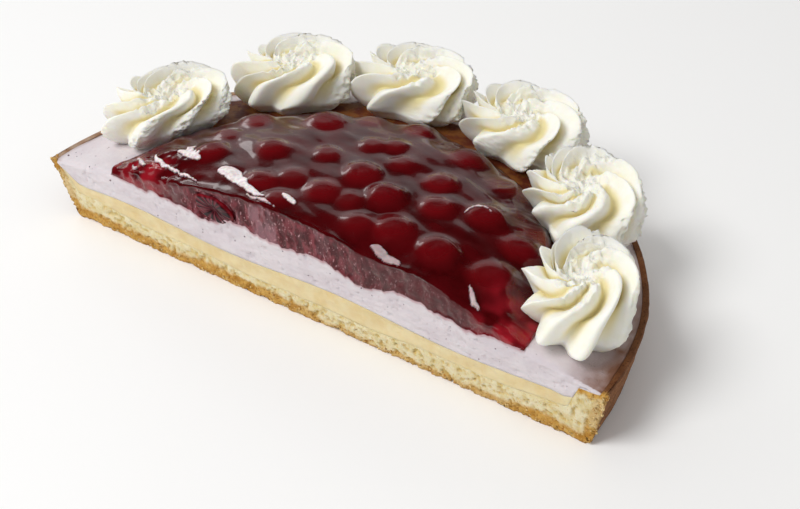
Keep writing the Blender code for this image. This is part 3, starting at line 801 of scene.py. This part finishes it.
def buildJelly():
    bearings = np.linspace(0.0, math.pi, 330)
    stations = 126
    share = np.linspace(0.0, 1.0, stations)
    lower, upper = [], []
    for b in bearings:
        edge = float(jellyRadius(b))
        lower.append(np.stack([edge * share, mousseTop(b, edge * share) - 0.1], axis=-1))
        d = (edge - 0.3) * share
        upper.append(np.stack([d, jellySurface(b, d)[0]], axis=-1))
    points, faces, across = layerMesh(bearings, np.array(lower), np.array(upper), 26)
    flat = points / mm
    cut = onCut(points)
    distance = np.hypot(flat[:, 0], flat[:, 1])
    bearing = np.arctan2(np.maximum(flat[:, 1], 0.0), flat[:, 0])
    surface, fruit, cover = jellySurface(bearing, np.minimum(distance, jellyRadius(bearing) - 0.3))
    depth = surface - flat[:, 2]
    flatCut = alongCut(points)
    # a rounded upper edge, more so at the ends, and below it pulp that tore under the knife
    end = ease((np.abs(flat[:, 0]) - 55.0) / 20.0)
    roll = mix(1.3, 3.0, end) + 0.6 * softNoise(flatCut, 7.0 * mm, 55)
    edge = roll * (1.0 - np.sqrt(np.clip(1.0 - (1.0 - np.minimum(depth, roll) / roll) ** 2, 0.0, 1.0)))
    grain = flatCut @ np.array(((0.9, 0.0, 0.3), (0.0, 1.0, 0.0), (-0.2, 0.0, 0.55)))
    thin = ease((-flat[:, 0] - 52.0) / 14.0)
    pulp = 0.6 + 1.0 * roughNoise(grain, 5.0 * mm, 51) + mix(0.5, 0.9, thin) * roughNoise(grain, 2.0 * mm, 52)
    relief = edge + 0.1 + ease(depth / 1.5) * np.maximum(pulp, 0.0)
    aroundCherry = np.hypot((flat[:, 0] - cutCherry["x"]) / cutCherry["halfWidth"], (flat[:, 2] - cutCherry["z"]) / cutCherry["halfHeight"])
    relief = relief + 1.3 * ease((1.35 - aroundCherry) / 0.3)
    pushIn(points, seam(relief, (0.1 - across) / 0.1), 12.0)
    torn = ease((depth - 0.6 * roll - 0.5 * softNoise(flatCut, 2.5 * mm, 56)) / 1.2) * (1.0 - 0.75 * thin)
    torn = torn * (1.0 - 0.75 * ease((flat[:, 0] - 4.0) / 48.0))
    # where it is thin the light comes through it
    thinness = ease((8.0 - surface + mousseTop(bearing, distance)) / 6.0) * ease((bearing - 2.6) / 0.3)
    thinness = np.maximum(thinness, 0.8 * ease((flat[:, 0] - 72.0) / 16.0) * ease((22.0 - flat[:, 1]) / 12.0))
    thinness = np.maximum(thinness, 0.8 * ease((-flat[:, 0] - 62.0) / 16.0) * ease((16.0 - flat[:, 1]) / 10.0))
    thinness = np.clip(thinness * (0.6 + 0.9 * softNoise(points, 4.0 * mm, 57)), 0.0, 1.0)
    film = ease((distance - 84.0 - 4.0 * softNoise(points, 14.0 * mm, 53)) / 7.0) * ease((bearing - 0.5) / 0.4) * ease((2.75 - bearing) / 0.2)
    film = film * (0.55 + 0.45 * softNoise(points, 7.0 * mm, 54))
    values = {
        "fruit": np.where(cut, 0.4 * fruit, fruit),
        "cut": np.where(cut, torn, 0.0),
        "film": np.where(cut, 0.0, np.clip(film, 0.0, 1.0)),
        "haze": 0.55 * ease((30.0 - flat[:, 0]) / 40.0),
        "thin": thinness,
        "cover": np.where(cut, 9.0, np.clip(cover, 0.0, 9.0)),
    }
    piece = makePiece("cherryJelly", points, faces, finishes["jelly"], values)
    dress(piece, "cherry_jelly", "cherry_filling")


buildJelly()
print("jelly made")


def buildCherries():
    for i, spec in enumerate(cherries["places"]):
        around, rings = 56, 36
        turn = math.radians(cherries["turn"] * i)
        u = np.linspace(0.0, 2.0 * math.pi, around, endpoint=False)[None, :]
        v = np.linspace(0.0, math.pi, rings)[:, None]
        ball = np.stack([np.sin(v) * np.cos(u), np.sin(v) * np.sin(u), np.cos(v) + 0.0 * u], axis=-1)
        # where the stone came out the skin is drawn in, off to one side
        mouth = np.array((math.cos(turn) * 0.5, math.sin(turn) * 0.5, 0.86))
        away = np.linalg.norm(ball - mouth, axis=-1)
        reach = 1.0 - 0.16 * np.exp(-((away / 0.3) ** 2)) - 0.03 * (0.5 + 0.5 * softNoise(ball, 0.8, i))
        _, centre, halfHeight = bedded[i]
        size = np.array((cherries["halfWidth"] * spec[3], cherries["halfDepth"] * spec[3], halfHeight))
        points = (ball * reach[..., None] * size).reshape(-1, 3)
        swing = np.array(((math.cos(turn), -math.sin(turn)), (math.sin(turn), math.cos(turn))))
        points[:, :2] = points[:, :2] @ swing.T
        points = (points + centre) * mm
        faces = gridFaces(rings, around, wrapColumns=True)
        piece = makePiece(f"cherry{i + 1:02d}", points, faces, finishes["cherry"])
        dress(piece, "cherry", f"cherry_{i + 1:02d}")


buildCherries()
print("cherries made")

def buildCutCherry():
    # its flesh is drawn towards the middle, where the stone was
    around, rings = 90, 30
    u = np.linspace(0.0, 2.0 * math.pi, around, endpoint=False)[None, :]
    v = np.concatenate([np.linspace(0.0, 1.0, rings), np.linspace(1.0, 0.0, 8)[1:]])[:, None]
    back = np.concatenate([np.zeros(rings), np.linspace(0.0, 1.0, 8)[1:]])[:, None]
    outline = 1.0 + 0.07 * np.sin(2 * u + 0.7) + 0.04 * np.sin(5 * u)
    x, z = v * outline * np.cos(u) * cutCherry["halfWidth"], v * outline * np.sin(u) * cutCherry["halfHeight"]
    fibres = softNoise(np.stack([6.0 * np.cos(u) + 0 * v, 6.0 * np.sin(u) + 0 * v, 0.6 * v + 0 * u], -1), 0.5, 61)
    hollow = np.exp(-((v / 0.3) ** 2))
    y = 0.15 + 0.3 * (1.0 + fibres) * ease(v / 0.3) * ease((1.0 - v) / 0.2) + 1.4 * hollow + 0.9 * ease((v - 0.82) / 0.18)
    y = np.where(back > 0.0, 1.3 + 4.5 * np.sqrt(np.clip(1.0 - v**2, 0.0, 1.0)) + 0.0 * u, y)
    tilt = math.radians(cutCherry["tilt"])
    across = cutCherry["x"] + x * math.cos(tilt) - z * math.sin(tilt)
    up = cutCherry["z"] + x * math.sin(tilt) + z * math.cos(tilt)
    points = np.stack([across, y, up], -1)
    points[0], points[-1] = points[0].mean(axis=0), points[-1].mean(axis=0)
    flesh = 1.0 - 0.7 * ease((v - 0.86) / 0.08) + 0.0 * u
    faces = gridFaces(len(v), around, wrapColumns=True)
    values = {"flesh": np.where(back > 0.0, 0.0, flesh), "fibre": 0.5 + 0.5 * fibres * ease(v / 0.4)}
    piece = makePiece("cutCherry", points.reshape(-1, 3) * mm, faces, finishes["cherry"], values)
    dress(piece, "cherry")


buildCutCherry()


# streaks of cream that the knife dragged over the jelly, and one white streak that is a painted highlight standing for
# wet highlights on the jelly: beads of x, y and half width in mm
smears = {
    "thickness": 1.1,
    "cell": 0.35,
    # how much of the jelly shows through the fainter ones
    "faint": {"edge": 0.5, "paintedHighlight": 0.45, "haul": 0.3, "end": 0.2, "tip": 0.3, "rim": 0.2},
    "runs": {
        "broad": [(-46.5, 12, 2.6), (-43, 12.5, 3.5), (-39.5, 11.2, 3.6), (-36, 9.4, 2.9), (-32, 7.8, 2.4),
                  (-28, 6.4, 2.1), (-24, 5.6, 1.6), (-20.5, 5.2, 1.0)],
        "fruit": [(-72, 16, 1.6), (-69, 15.5, 2.0), (-65, 14.5, 2.0), (-61, 15, 1.4), (-71, 19, 1.8), (-69, 21, 1.3)],
        "haul": [(-27, 3.6, 0.8), (-23, 3.0, 1.1), (-18, 2.6, 1.2), (-13, 2.4, 0.8)],
        "line": [(-83, 12, 1.3), (-80, 10, 1.6), (-76, 8.6, 1.5), (-71, 7, 1.2), (-66, 6, 1.1), (-60, 5.2, 1.0), (-54, 5, 0.8)],
        "end": [(-90, 9, 1.1), (-87, 7.5, 1.5), (-84, 6, 1.2)],
        "tip": [(-89, 4, 1.0), (-86, 3, 1.1)],
        "edge": [(31, 5.4, 1.4), (34, 4.6, 2.2), (38, 3.8, 2.6), (42, 3.0, 2.0), (45, 2.4, 1.2)],
        "rim": [(48.5, 42.5, 0.8), (48.6, 45.5, 0.9), (50.3, 48.2, 1.0), (54, 49, 0.9), (57.5, 47.6, 0.7)],
        # painted highlight: this white streak stands for wet highlights on the jelly, not for cream
        "paintedHighlight": [(71.5, 8.6, 0.9), (74, 6.4, 1.4), (76, 4.4, 1.6), (78, 3.4, 1.0)],
        "fleck": [(-14, 9.5, 1.2), (-11, 8.6, 1.8), (-8, 8.4, 1.3)],
    },
}


def buildSmears():
    cell = smears["cell"]
    for k, (label, beads) in enumerate(smears["runs"].items()):
        beads = np.array(beads, dtype=float)
        # more beads between the given ones, so that the streak runs on
        beads = np.concatenate([mix(beads[:-1], beads[1:], s) for s in (0.0, 0.25, 0.5, 0.75)] + [beads[-1:]])
        lowest, highest = beads[:, :2].min(axis=0) - 4.0, beads[:, :2].max(axis=0) + 4.0
        x, y = np.meshgrid(*(np.arange(lowest[i], highest[i], cell) for i in (0, 1)), indexing="ij")
        place = np.stack([x, y, 0.0 * x], -1)
        wander = 0.65 * np.stack([softNoise(place, 3.0, 70 + k), softNoise(place, 3.0, 80 + k)], -1)
        height = np.full(x.shape, -1.0)
        for bead in beads:
            away = np.hypot(x + wander[..., 0] - bead[0], y + wander[..., 1] - bead[1]) / bead[2]
            height = np.maximum(height, (1.0 - away**2) * min(1.0, bead[2] / 1.8))
        height = height - 0.25 * ease(roughNoise(place, 1.6, 90 + k) + 0.2)
        height = np.where(y < 0.6, -1.0, height)
        inside = height > 0.0
        whole = inside[:-1, :-1] & inside[1:, :-1] & inside[1:, 1:] & inside[:-1, 1:]
        index = np.arange(x.size).reshape(x.shape)
        quads = np.stack([c[whole] for c in (index[:-1, :-1], index[:-1, 1:], index[1:, 1:], index[1:, :-1])], -1)
        # a point with a missing cell beside it is on the border, where both sheets meet
        used = np.zeros(x.shape, dtype=int)
        np.add.at(used.ravel(), quads.ravel(), 1)
        rise = smears["thickness"] * np.sqrt(np.clip(height, 0.0, 1.0)) + 0.12 * roughNoise(place, 0.9, 95 + k)
        rise = np.where(used == 4, np.maximum(rise, 0.05), 0.0)
        ground = groundHeight(x, y)
        sheets = [np.stack([x, y, ground - 0.05 + side], -1).reshape(-1, 3) for side in (rise, np.where(used == 4, -0.25, 0.0))]
        faces = np.concatenate([quads, quads + x.size])
        keep = np.unique(faces)
        slots = np.zeros(2 * x.size, dtype=int)
        slots[keep] = np.arange(keep.size)
        skim = np.clip(ease((0.55 - rise) / 0.5) + smears["faint"].get(label, 0.0), 0.0, 1.0).ravel()
        values = {"skim": np.concatenate([skim, skim])[keep]}
        piece = makePiece(f"creamSmear_{label}", np.concatenate(sheets)[keep] * mm, slots[faces], finishes["smear"], values)
        dress(piece, "whipped_cream")


buildSmears()
print("cut cherry and smears made")

# ---------- loose bits ----------

bits = {
    # what they lie on, the value that says where, pieces per square cm, least and greatest size in mm
    "crumbs": {"on": "crust", "where": "crumbly", "density": 32.0, "least": 0.35, "greatest": 1.1, "seed": 3},
    "fruitFlecks": {"on": "mousse", "where": "open", "density": 0.32, "least": 0.35, "greatest": 0.9, "seed": 8},
}


def bitsTree(name, finish):
    # small uneven lumps strewn over a mesh; the mesh itself is left out
    tree = bpy.data.node_groups.new(name, "GeometryNodeTree")
    face = tree.interface
    face.new_socket("Geometry", in_out="INPUT", socket_type="NodeSocketGeometry")
    for label, kind in (("Density", "Float"), ("Least size", "Float"), ("Greatest size", "Float"), ("Seed", "Int")):
        face.new_socket(label, in_out="INPUT", socket_type=f"NodeSocket{kind}")
    face.new_socket("Where", in_out="INPUT", socket_type="NodeSocketString")
    face.new_socket("Geometry", in_out="OUTPUT", socket_type="NodeSocketGeometry")
    given = addNode(tree, "NodeGroupInput").outputs
    share = addNode(tree, "GeometryNodeInputNamedAttribute", {"Name": given["Where"]}, data_type="FLOAT").outputs[0]
    density = addNode(tree, "ShaderNodeMath", {0: share, 1: given["Density"]}, operation="MULTIPLY").outputs[0]
    spots = addNode(tree, "GeometryNodeDistributePointsOnFaces", {"Mesh": given["Geometry"], "Density": density, "Seed": given["Seed"]})
    lump = addNode(tree, "GeometryNodeMeshIcoSphere", {"Radius": 0.5, "Subdivisions": 3}).outputs["Mesh"]
    place = addNode(tree, "GeometryNodeInputPosition").outputs[0]
    rough = addNode(tree, "ShaderNodeTexNoise", {"Vector": place, "Scale": 2.2, "Detail": 2.0}).outputs["Fac"]
    reach = addNode(tree, "ShaderNodeMapRange", {"Value": rough, "From Min": 0.3, "From Max": 0.7, "To Min": 0.6, "To Max": 1.25})
    uneven = addNode(tree, "ShaderNodeVectorMath", {0: place, "Scale": reach.outputs["Result"]}, operation="SCALE").outputs[0]
    lump = addNode(tree, "GeometryNodeSetPosition", {"Geometry": lump, "Position": uneven}).outputs[0]
    turn = addNode(tree, "FunctionNodeRandomValue", {"Max": (6.28, 6.28, 6.28), "Seed": given["Seed"]}, data_type="FLOAT_VECTOR")
    size = addNode(
        tree,
        "FunctionNodeRandomValue",
        {2: given["Least size"], 3: given["Greatest size"], "Seed": given["Seed"]},
        data_type="FLOAT",
    ).outputs[1]
    strewn = addNode(
        tree,
        "GeometryNodeInstanceOnPoints",
        {"Points": spots.outputs["Points"], "Instance": lump, "Rotation": turn.outputs[0], "Scale": size},
    ).outputs[0]
    whole = addNode(tree, "GeometryNodeRealizeInstances", {"Geometry": strewn}).outputs[0]
    dressed = addNode(tree, "GeometryNodeSetMaterial", {"Geometry": whole, "Material": finish}).outputs[0]
    addNode(tree, "NodeGroupOutput", {"Geometry": dressed})
    return tree


def strew(name, host, finish, slot):
    asked = bits[name]
    holder = bpy.data.objects.new(name, host.data.copy())
    bpy.context.collection.objects.link(holder)
    modifier = holder.modifiers.new(name, "NODES")
    modifier.node_group = bitsTree(name, finish)
    inputs = {
        "Density": asked["density"] * 10000.0,
        "Least size": asked["least"] * mm,
        "Greatest size": asked["greatest"] * mm,
        "Seed": asked["seed"],
        "Where": asked["where"],
    }
    for socket in modifier.node_group.interface.items_tree:
        if socket.in_out == "INPUT" and socket.name in inputs:
            modifier[socket.identifier] = inputs[socket.name]
    depsgraph = bpy.context.evaluated_depsgraph_get()
    mesh = bpy.data.meshes.new_from_object(holder.evaluated_get(depsgraph))
    bpy.data.objects.remove(holder)
    # nothing past the plane of the cut or below the table
    places = np.empty(len(mesh.vertices) * 3, dtype=np.float32)
    mesh.vertices.foreach_get("co", places)
    places = places.reshape(-1, 3)
    places[:, 1] = np.maximum(places[:, 1], pieceFront)
    places[:, 2] = np.maximum(places[:, 2], 0.00002)
    places[:, 0] = np.clip(places[:, 0], cadBox[0][0], cadBox[1][0])
    mesh.vertices.foreach_set("co", places.ravel())
    mesh.shade_smooth()
    piece = bpy.data.objects.new(name, mesh)
    bpy.context.collection.objects.link(piece)
    dress(piece, slot)


pieceFront = cadBox[0][1] + 0.02 * mm
strew("crumbs", bpy.data.objects["crustBaked"], finishes["crumbs"], "pastry")
strew("fruitFlecks", bpy.data.objects["mousseLayer"], finishes["flecks"], "cherry")
print("loose bits made")

# ---------- rosettes ----------

rosette = {
    "blades": 9,
    "twist": (108.0, 32.0),  # on average, and how much more on the side where the swirl opens
    "opensTowards": 13.0,
    "bandAlong": 100.0,
    "shoulder": 25.0,
    "spreadOut": 0.18,
    "pointsPerBlade": 26,
    "rows": 120,
    "underside": 0.55,
    "core": 0.66,
    # bearing in degrees, distance, half length, half width, crest height in mm, turn of the first blade
    "places": [
        (157.5, 112, 31.0, 23.0, 51.0, 20), (127.5, 119, 30.0, 23.0, 53.0, 0), (101.0, 120, 32.0, 23.0, 52.5, 12),
        (74.0, 120, 31.5, 24.5, 50.0, 30), (46.0, 114, 30.0, 25.0, 51.0, 8), (15.5, 110, 29.5, 22.5, 53.0, 24),
    ],
    # from the foot to the core: height, distance, groove inwards, groove downwards, share of the twist
    "rings": [
        (0.0, 0.55, 0.20, 0.0, 0.0), (0.0, 0.73, 0.20, 0.0, 0.0), (0.26, 0.92, 0.26, 0.0, 0.03),
        (0.56, 1.0, 0.32, 0.06, 0.08), (0.84, 0.9, 0.30, 0.2, 0.2), (1.0, 0.68, 0.24, 0.3, 0.42),
        (0.98, 0.4, 0.10, 0.26, 0.72), (0.8, 0.17, 0.0, 0.04, 1.0), (0.72, 0.0, 0.0, 0.0, 1.1),
    ],
}


def throughRings(rings, count):
    # a smooth curve through the ring values, the same number of rows between each two
    rings = np.asarray(rings, dtype=float)
    at = np.linspace(0.0, len(rings) - 1.0, count)
    k = np.minimum(at.astype(int), len(rings) - 2)
    t = (at - k)[:, None]
    last = len(rings) - 1
    a, b, c, d = (rings[np.clip(k + shift, 0, last)] for shift in (-1, 0, 1, 2))
    return 0.5 * (2 * b + (c - a) * t + (2 * a - 5 * b + 4 * c - d) * t**2 + (3 * b - a - 3 * c + d) * t**3)


def buildRosette(index):
    places = rosette["places"]
    bearing, distance, length, width, crest, turn = places[index]
    bearing = math.radians(bearing)
    outwards = np.array((math.cos(bearing), math.sin(bearing)))
    along = np.array((outwards[1], -outwards[0]))
    centre = outwards * distance
    rings = throughRings(rosette["rings"], rosette["rows"])
    rings[:, 1] = np.maximum(rings[:, 1], 0.0)
    rows, blades = len(rings), rosette["blades"]
    around = blades * rosette["pointsPerBlade"]
    phase = np.linspace(0.0, 1.0, around, endpoint=False)[None, :]
    seed = 100 + 17 * index
    wheel = np.stack([np.cos(2 * np.pi * phase), np.sin(2 * np.pi * phase), 0.0 * phase], axis=-1)
    jitter = 0.25 * softNoise(wheel, 0.6, seed) / blades
    start = math.radians(turn) + 2 * np.pi * (phase + jitter)
    # the swirl opens to one side: there the crests lie further apart, curl more and overlap like shells
    fromOpening = start + bearing - math.pi / 2 - math.radians(rosette["opensTowards"])
    opening = 0.5 + 0.5 * np.cos(fromOpening)
    blunt = ease(0.1 + 0.9 * np.cos(fromOpening + 1.1))
    within = (phase * blades) % 1.0
    lean = mix(0.5, 0.36, opening)
    within = np.where(within < lean, 0.5 * within / lean, 0.5 + 0.5 * (within - lean) / (1.0 - lean))
    away = np.abs(2.0 * within - 1.0)  # 1 on a crest, 0 in the bottom of a groove
    groove = mix(1.0 - away ** mix(1.15, 1.7, opening), 0.5 + 0.5 * np.cos(np.pi * away), blunt)
    height, reach, inwards, downwards, swing = (rings[:, k : k + 1] for k in range(5))
    share = np.linspace(0.0, 1.0, rows)[:, None] + 0.0 * phase
    # a high shoulder where it opens, lobes that hang low in front
    shoulder = ease(0.5 + 0.6 * np.cos(fromOpening - math.radians(rosette["shoulder"])))
    top = ease((share - 0.3) / 0.1)
    reach = np.where(share > 0.3, mix(reach, np.clip(reach, 0.0001, 1.0) ** 0.6, shoulder * top), reach)
    height = height * (1.0 - 0.4 * blunt * ease(1.0 - np.abs(share - 0.33) / 0.2))
    downwards = downwards * mix(1.0, mix(0.35, 1.0, opening), ease((share - 0.6) / 0.15))
    bladeLength = 1.0 + 0.07 * softNoise(wheel, 0.5, seed + 1)
    bladeHeight = 1.0 + 0.06 * softNoise(wheel, 0.5, seed + 2)
    twist = rosette["twist"][0] + rosette["twist"][1] * np.cos(fromOpening)
    angle = start + rosette["spreadOut"] * np.sin(fromOpening) + np.radians(twist) * swing
    r = reach * (1.0 - inwards * groove * mix(1.0, 0.8, blunt)) * mix(1.0, bladeLength, ease(reach))
    flat = centre + (length * r * np.cos(angle))[..., None] * along + (width * r * np.sin(angle))[..., None] * outwards
    for k in (index - 1, index + 1):
        if not 0 <= k < len(places):
            continue
        other = np.array((math.cos(math.radians(places[k][0])), math.sin(math.radians(places[k][0])))) * places[k][1]
        towards = other - centre
        span = np.linalg.norm(towards)
        towards = towards / span
        past = (flat - centre) @ towards - span * length / (length + places[k][2])
        flat = flat - np.maximum(past, 0.0)[..., None] * towards * 0.9
    flat[..., 1] = np.maximum(flat[..., 1], 0.3)
    low = groundHeight(flat[..., 0], flat[..., 1]) - 0.4
    sag = 1.0 - 0.09 * (1.0 - opening) * ease((reach - 0.2) / 0.5)
    z = mix(low, crest, height * sag * (1.0 - 1.1 * downwards * groove) * mix(1.0, bladeHeight, height))
    points = np.concatenate([flat, z[..., None]], axis=-1)
    # slow wobble, and torn where the nozzle pulled away
    wobble = np.stack([softNoise(points, 13.0, seed + 3 + k) for k in range(3)], axis=-1)
    points = points + 0.6 * wobble * np.minimum(1.0, height * 3.0)[..., None]
    tornSide = ease(0.35 + 0.5 * np.cos(fromOpening - 0.5) + 0.7 * softNoise(wheel, 0.8, seed + 7))
    outside = ease((share - 0.1) / 0.12) * ease((0.62 - share) / 0.12)
    torn = tornSide * outside * (0.35 + 0.65 * ease((away - 0.5) / 0.4))
    chips = np.abs(roughNoise(points, 3.0, seed + 8)) + 0.6 * np.abs(softNoise(points, 1.3, seed + 9))
    points[..., :2] -= (3.2 * torn * chips)[..., None] * (flat - centre) / (length * 0.8)
    points[..., 2] -= 0.9 * torn * chips
    # a broad torn band across the top, where the nozzle was pulled away
    turnBack = math.radians(rosette["bandAlong"])
    band = (flat - centre) @ np.array((-math.sin(turnBack), math.cos(turnBack))) / (0.36 * width)
    core = ease((share - 0.56) / 0.12) * np.exp(-(band**2)) * mix(1.0, 0.45, ease((groove - 0.4) / 0.4))
    core = np.maximum(core, ease((share - 0.78) / 0.08))
    curd = 0.6 * softNoise(points, 5.0, seed + 10) + 1.1 * (0.5 - 2.0 * np.abs(softNoise(points, 3.0, seed + 11)))
    curd = curd + 0.6 * (0.4 - 1.6 * np.abs(softNoise(points, 1.5, seed + 14)))
    points[..., 2] += core * 1.7 * curd
    points[..., :2] += core[..., None] * 0.5 * np.stack([softNoise(points, 1.7, seed + 12), softNoise(points, 1.7, seed + 13)], -1)
    points[-1] = points[-1].mean(axis=0)
    points[0] = points[0].mean(axis=0)
    points[..., 1] = 140.2 - 0.5 * np.logaddexp(0.0, (140.2 - points[..., 1]) / 0.5)
    points[..., 2] = 52.8 - 0.7 * np.logaddexp(0.0, (52.8 - points[..., 2]) / 0.7)
    # painted shade: how far down each groove lies, which sets the yellow shade painted into it
    deep = ease((groove - 0.45) / 0.5) * ease((share - 0.3) / 0.2) * ease((0.94 - share) / 0.15)
    ragged = np.clip(np.maximum(core, tornSide * outside), 0.0, 1.0)
    faces = gridFaces(rows, around, wrapColumns=True)
    piece = makePiece(f"rosette{index + 1}", points.reshape(-1, 3) * mm, faces, finishes["cream"], {"deep": 0.8 * deep, "torn": ragged})
    dress(piece, "whipped_cream", f"rosette_{index + 1}")


for index in range(len(rosette["places"])):
    buildRosette(index)
print("rosettes made")

# ---------- floor, light and camera ----------

studio = {
    "floorSize": 6.0,
    "worldLight": 0.46,
    "keyPower": 24.0,
    "lowPanel": 5.0,
    "highPanel": 2.0,
    "lens": 60.0,
    "azimuth": 33.5,
    "elevation": 38.3,
    "distance": 0.566,
    "target": (10.4, 54.8, 0.0),
}


def makeFloor():
    finish, tree, shader, place = newFinish("paleTable", Roughness=0.9)
    mottle = noiseOf(tree, place, 300.0, 2.0)
    tree.links.new(blendColours(tree, mottle, linear("FBFBFA"), linear("F9F8F7")), shader.inputs["Base Color"])
    half = studio["floorSize"] / 2.0
    mesh = bpy.data.meshes.new("floor")
    mesh.from_pydata([(-half, -half, 0.0), (half, -half, 0.0), (half, half, 0.0), (-half, half, 0.0)], [], [(0, 1, 2, 3)])
    mesh.materials.append(finish)
    floor = bpy.data.objects.new("floor", mesh)
    bpy.context.collection.objects.link(floor)


def makeLamp(name, place, target, size, power, tint=(1.0, 1.0, 1.0), shines=True):
    lamp = bpy.data.lights.new(name, "AREA")
    lamp.shape = "RECTANGLE"
    lamp.size, lamp.size_y = size
    lamp.energy = power
    lamp.color = tint
    holder = bpy.data.objects.new(name, lamp)
    holder.location = place
    holder.rotation_euler = (Vector(target) - Vector(place)).to_track_quat("-Z", "Y").to_euler()
    holder.visible_glossy = shines
    bpy.context.collection.objects.link(holder)


def makeLight():
    world = bpy.data.worlds.new("studio")
    bpy.context.scene.world = world
    world.use_nodes = True
    world.node_tree.nodes["Background"].inputs["Color"].default_value = (1.0, 1.0, 1.0, 1.0)
    world.node_tree.nodes["Background"].inputs["Strength"].default_value = studio["worldLight"]
    world.cycles_visibility.glossy = False
    turn = math.radians(studio["azimuth"])
    away = Vector((-math.sin(turn), math.cos(turn), 0.0))
    side = Vector((math.cos(turn), math.sin(turn), 0.0))
    makeLamp("lowPanel", away * 1.7 - side * 0.5 + Vector((0, 0, 0.57)), (0, 0, 0), (2.6, 1.1), studio["lowPanel"])
    makeLamp("highPanel", away * 1.6 - side * 0.8 + Vector((0, 0, 0.85)), (0, 0, 0), (0.6, 0.3), studio["highPanel"])
    key = away * -0.55 - side * 1.05 + Vector((0, 0, 1.55))
    makeLamp("key", key, (0, 0, 0), (0.9, 0.9), studio["keyPower"], shines=False)


def makeCamera():
    turn, rise = math.radians(studio["azimuth"]), math.radians(studio["elevation"])
    back = Vector((math.sin(turn) * math.cos(rise), -math.cos(turn) * math.cos(rise), math.sin(rise)))
    target = Vector(studio["target"]) * mm + Vector(pieCentre)
    camera = bpy.data.cameras.new("camera")
    camera.lens = studio["lens"]
    camera.sensor_width = 36.0
    holder = bpy.data.objects.new("camera", camera)
    holder.location = target + back * studio["distance"]
    holder.rotation_euler = (-back).to_track_quat("-Z", "Y").to_euler()
    bpy.context.collection.objects.link(holder)
    bpy.context.scene.camera = holder


makeFloor()
makeLight()
makeCamera()
bpy.context.scene.view_settings.view_transform = "Standard"
print("studio made")
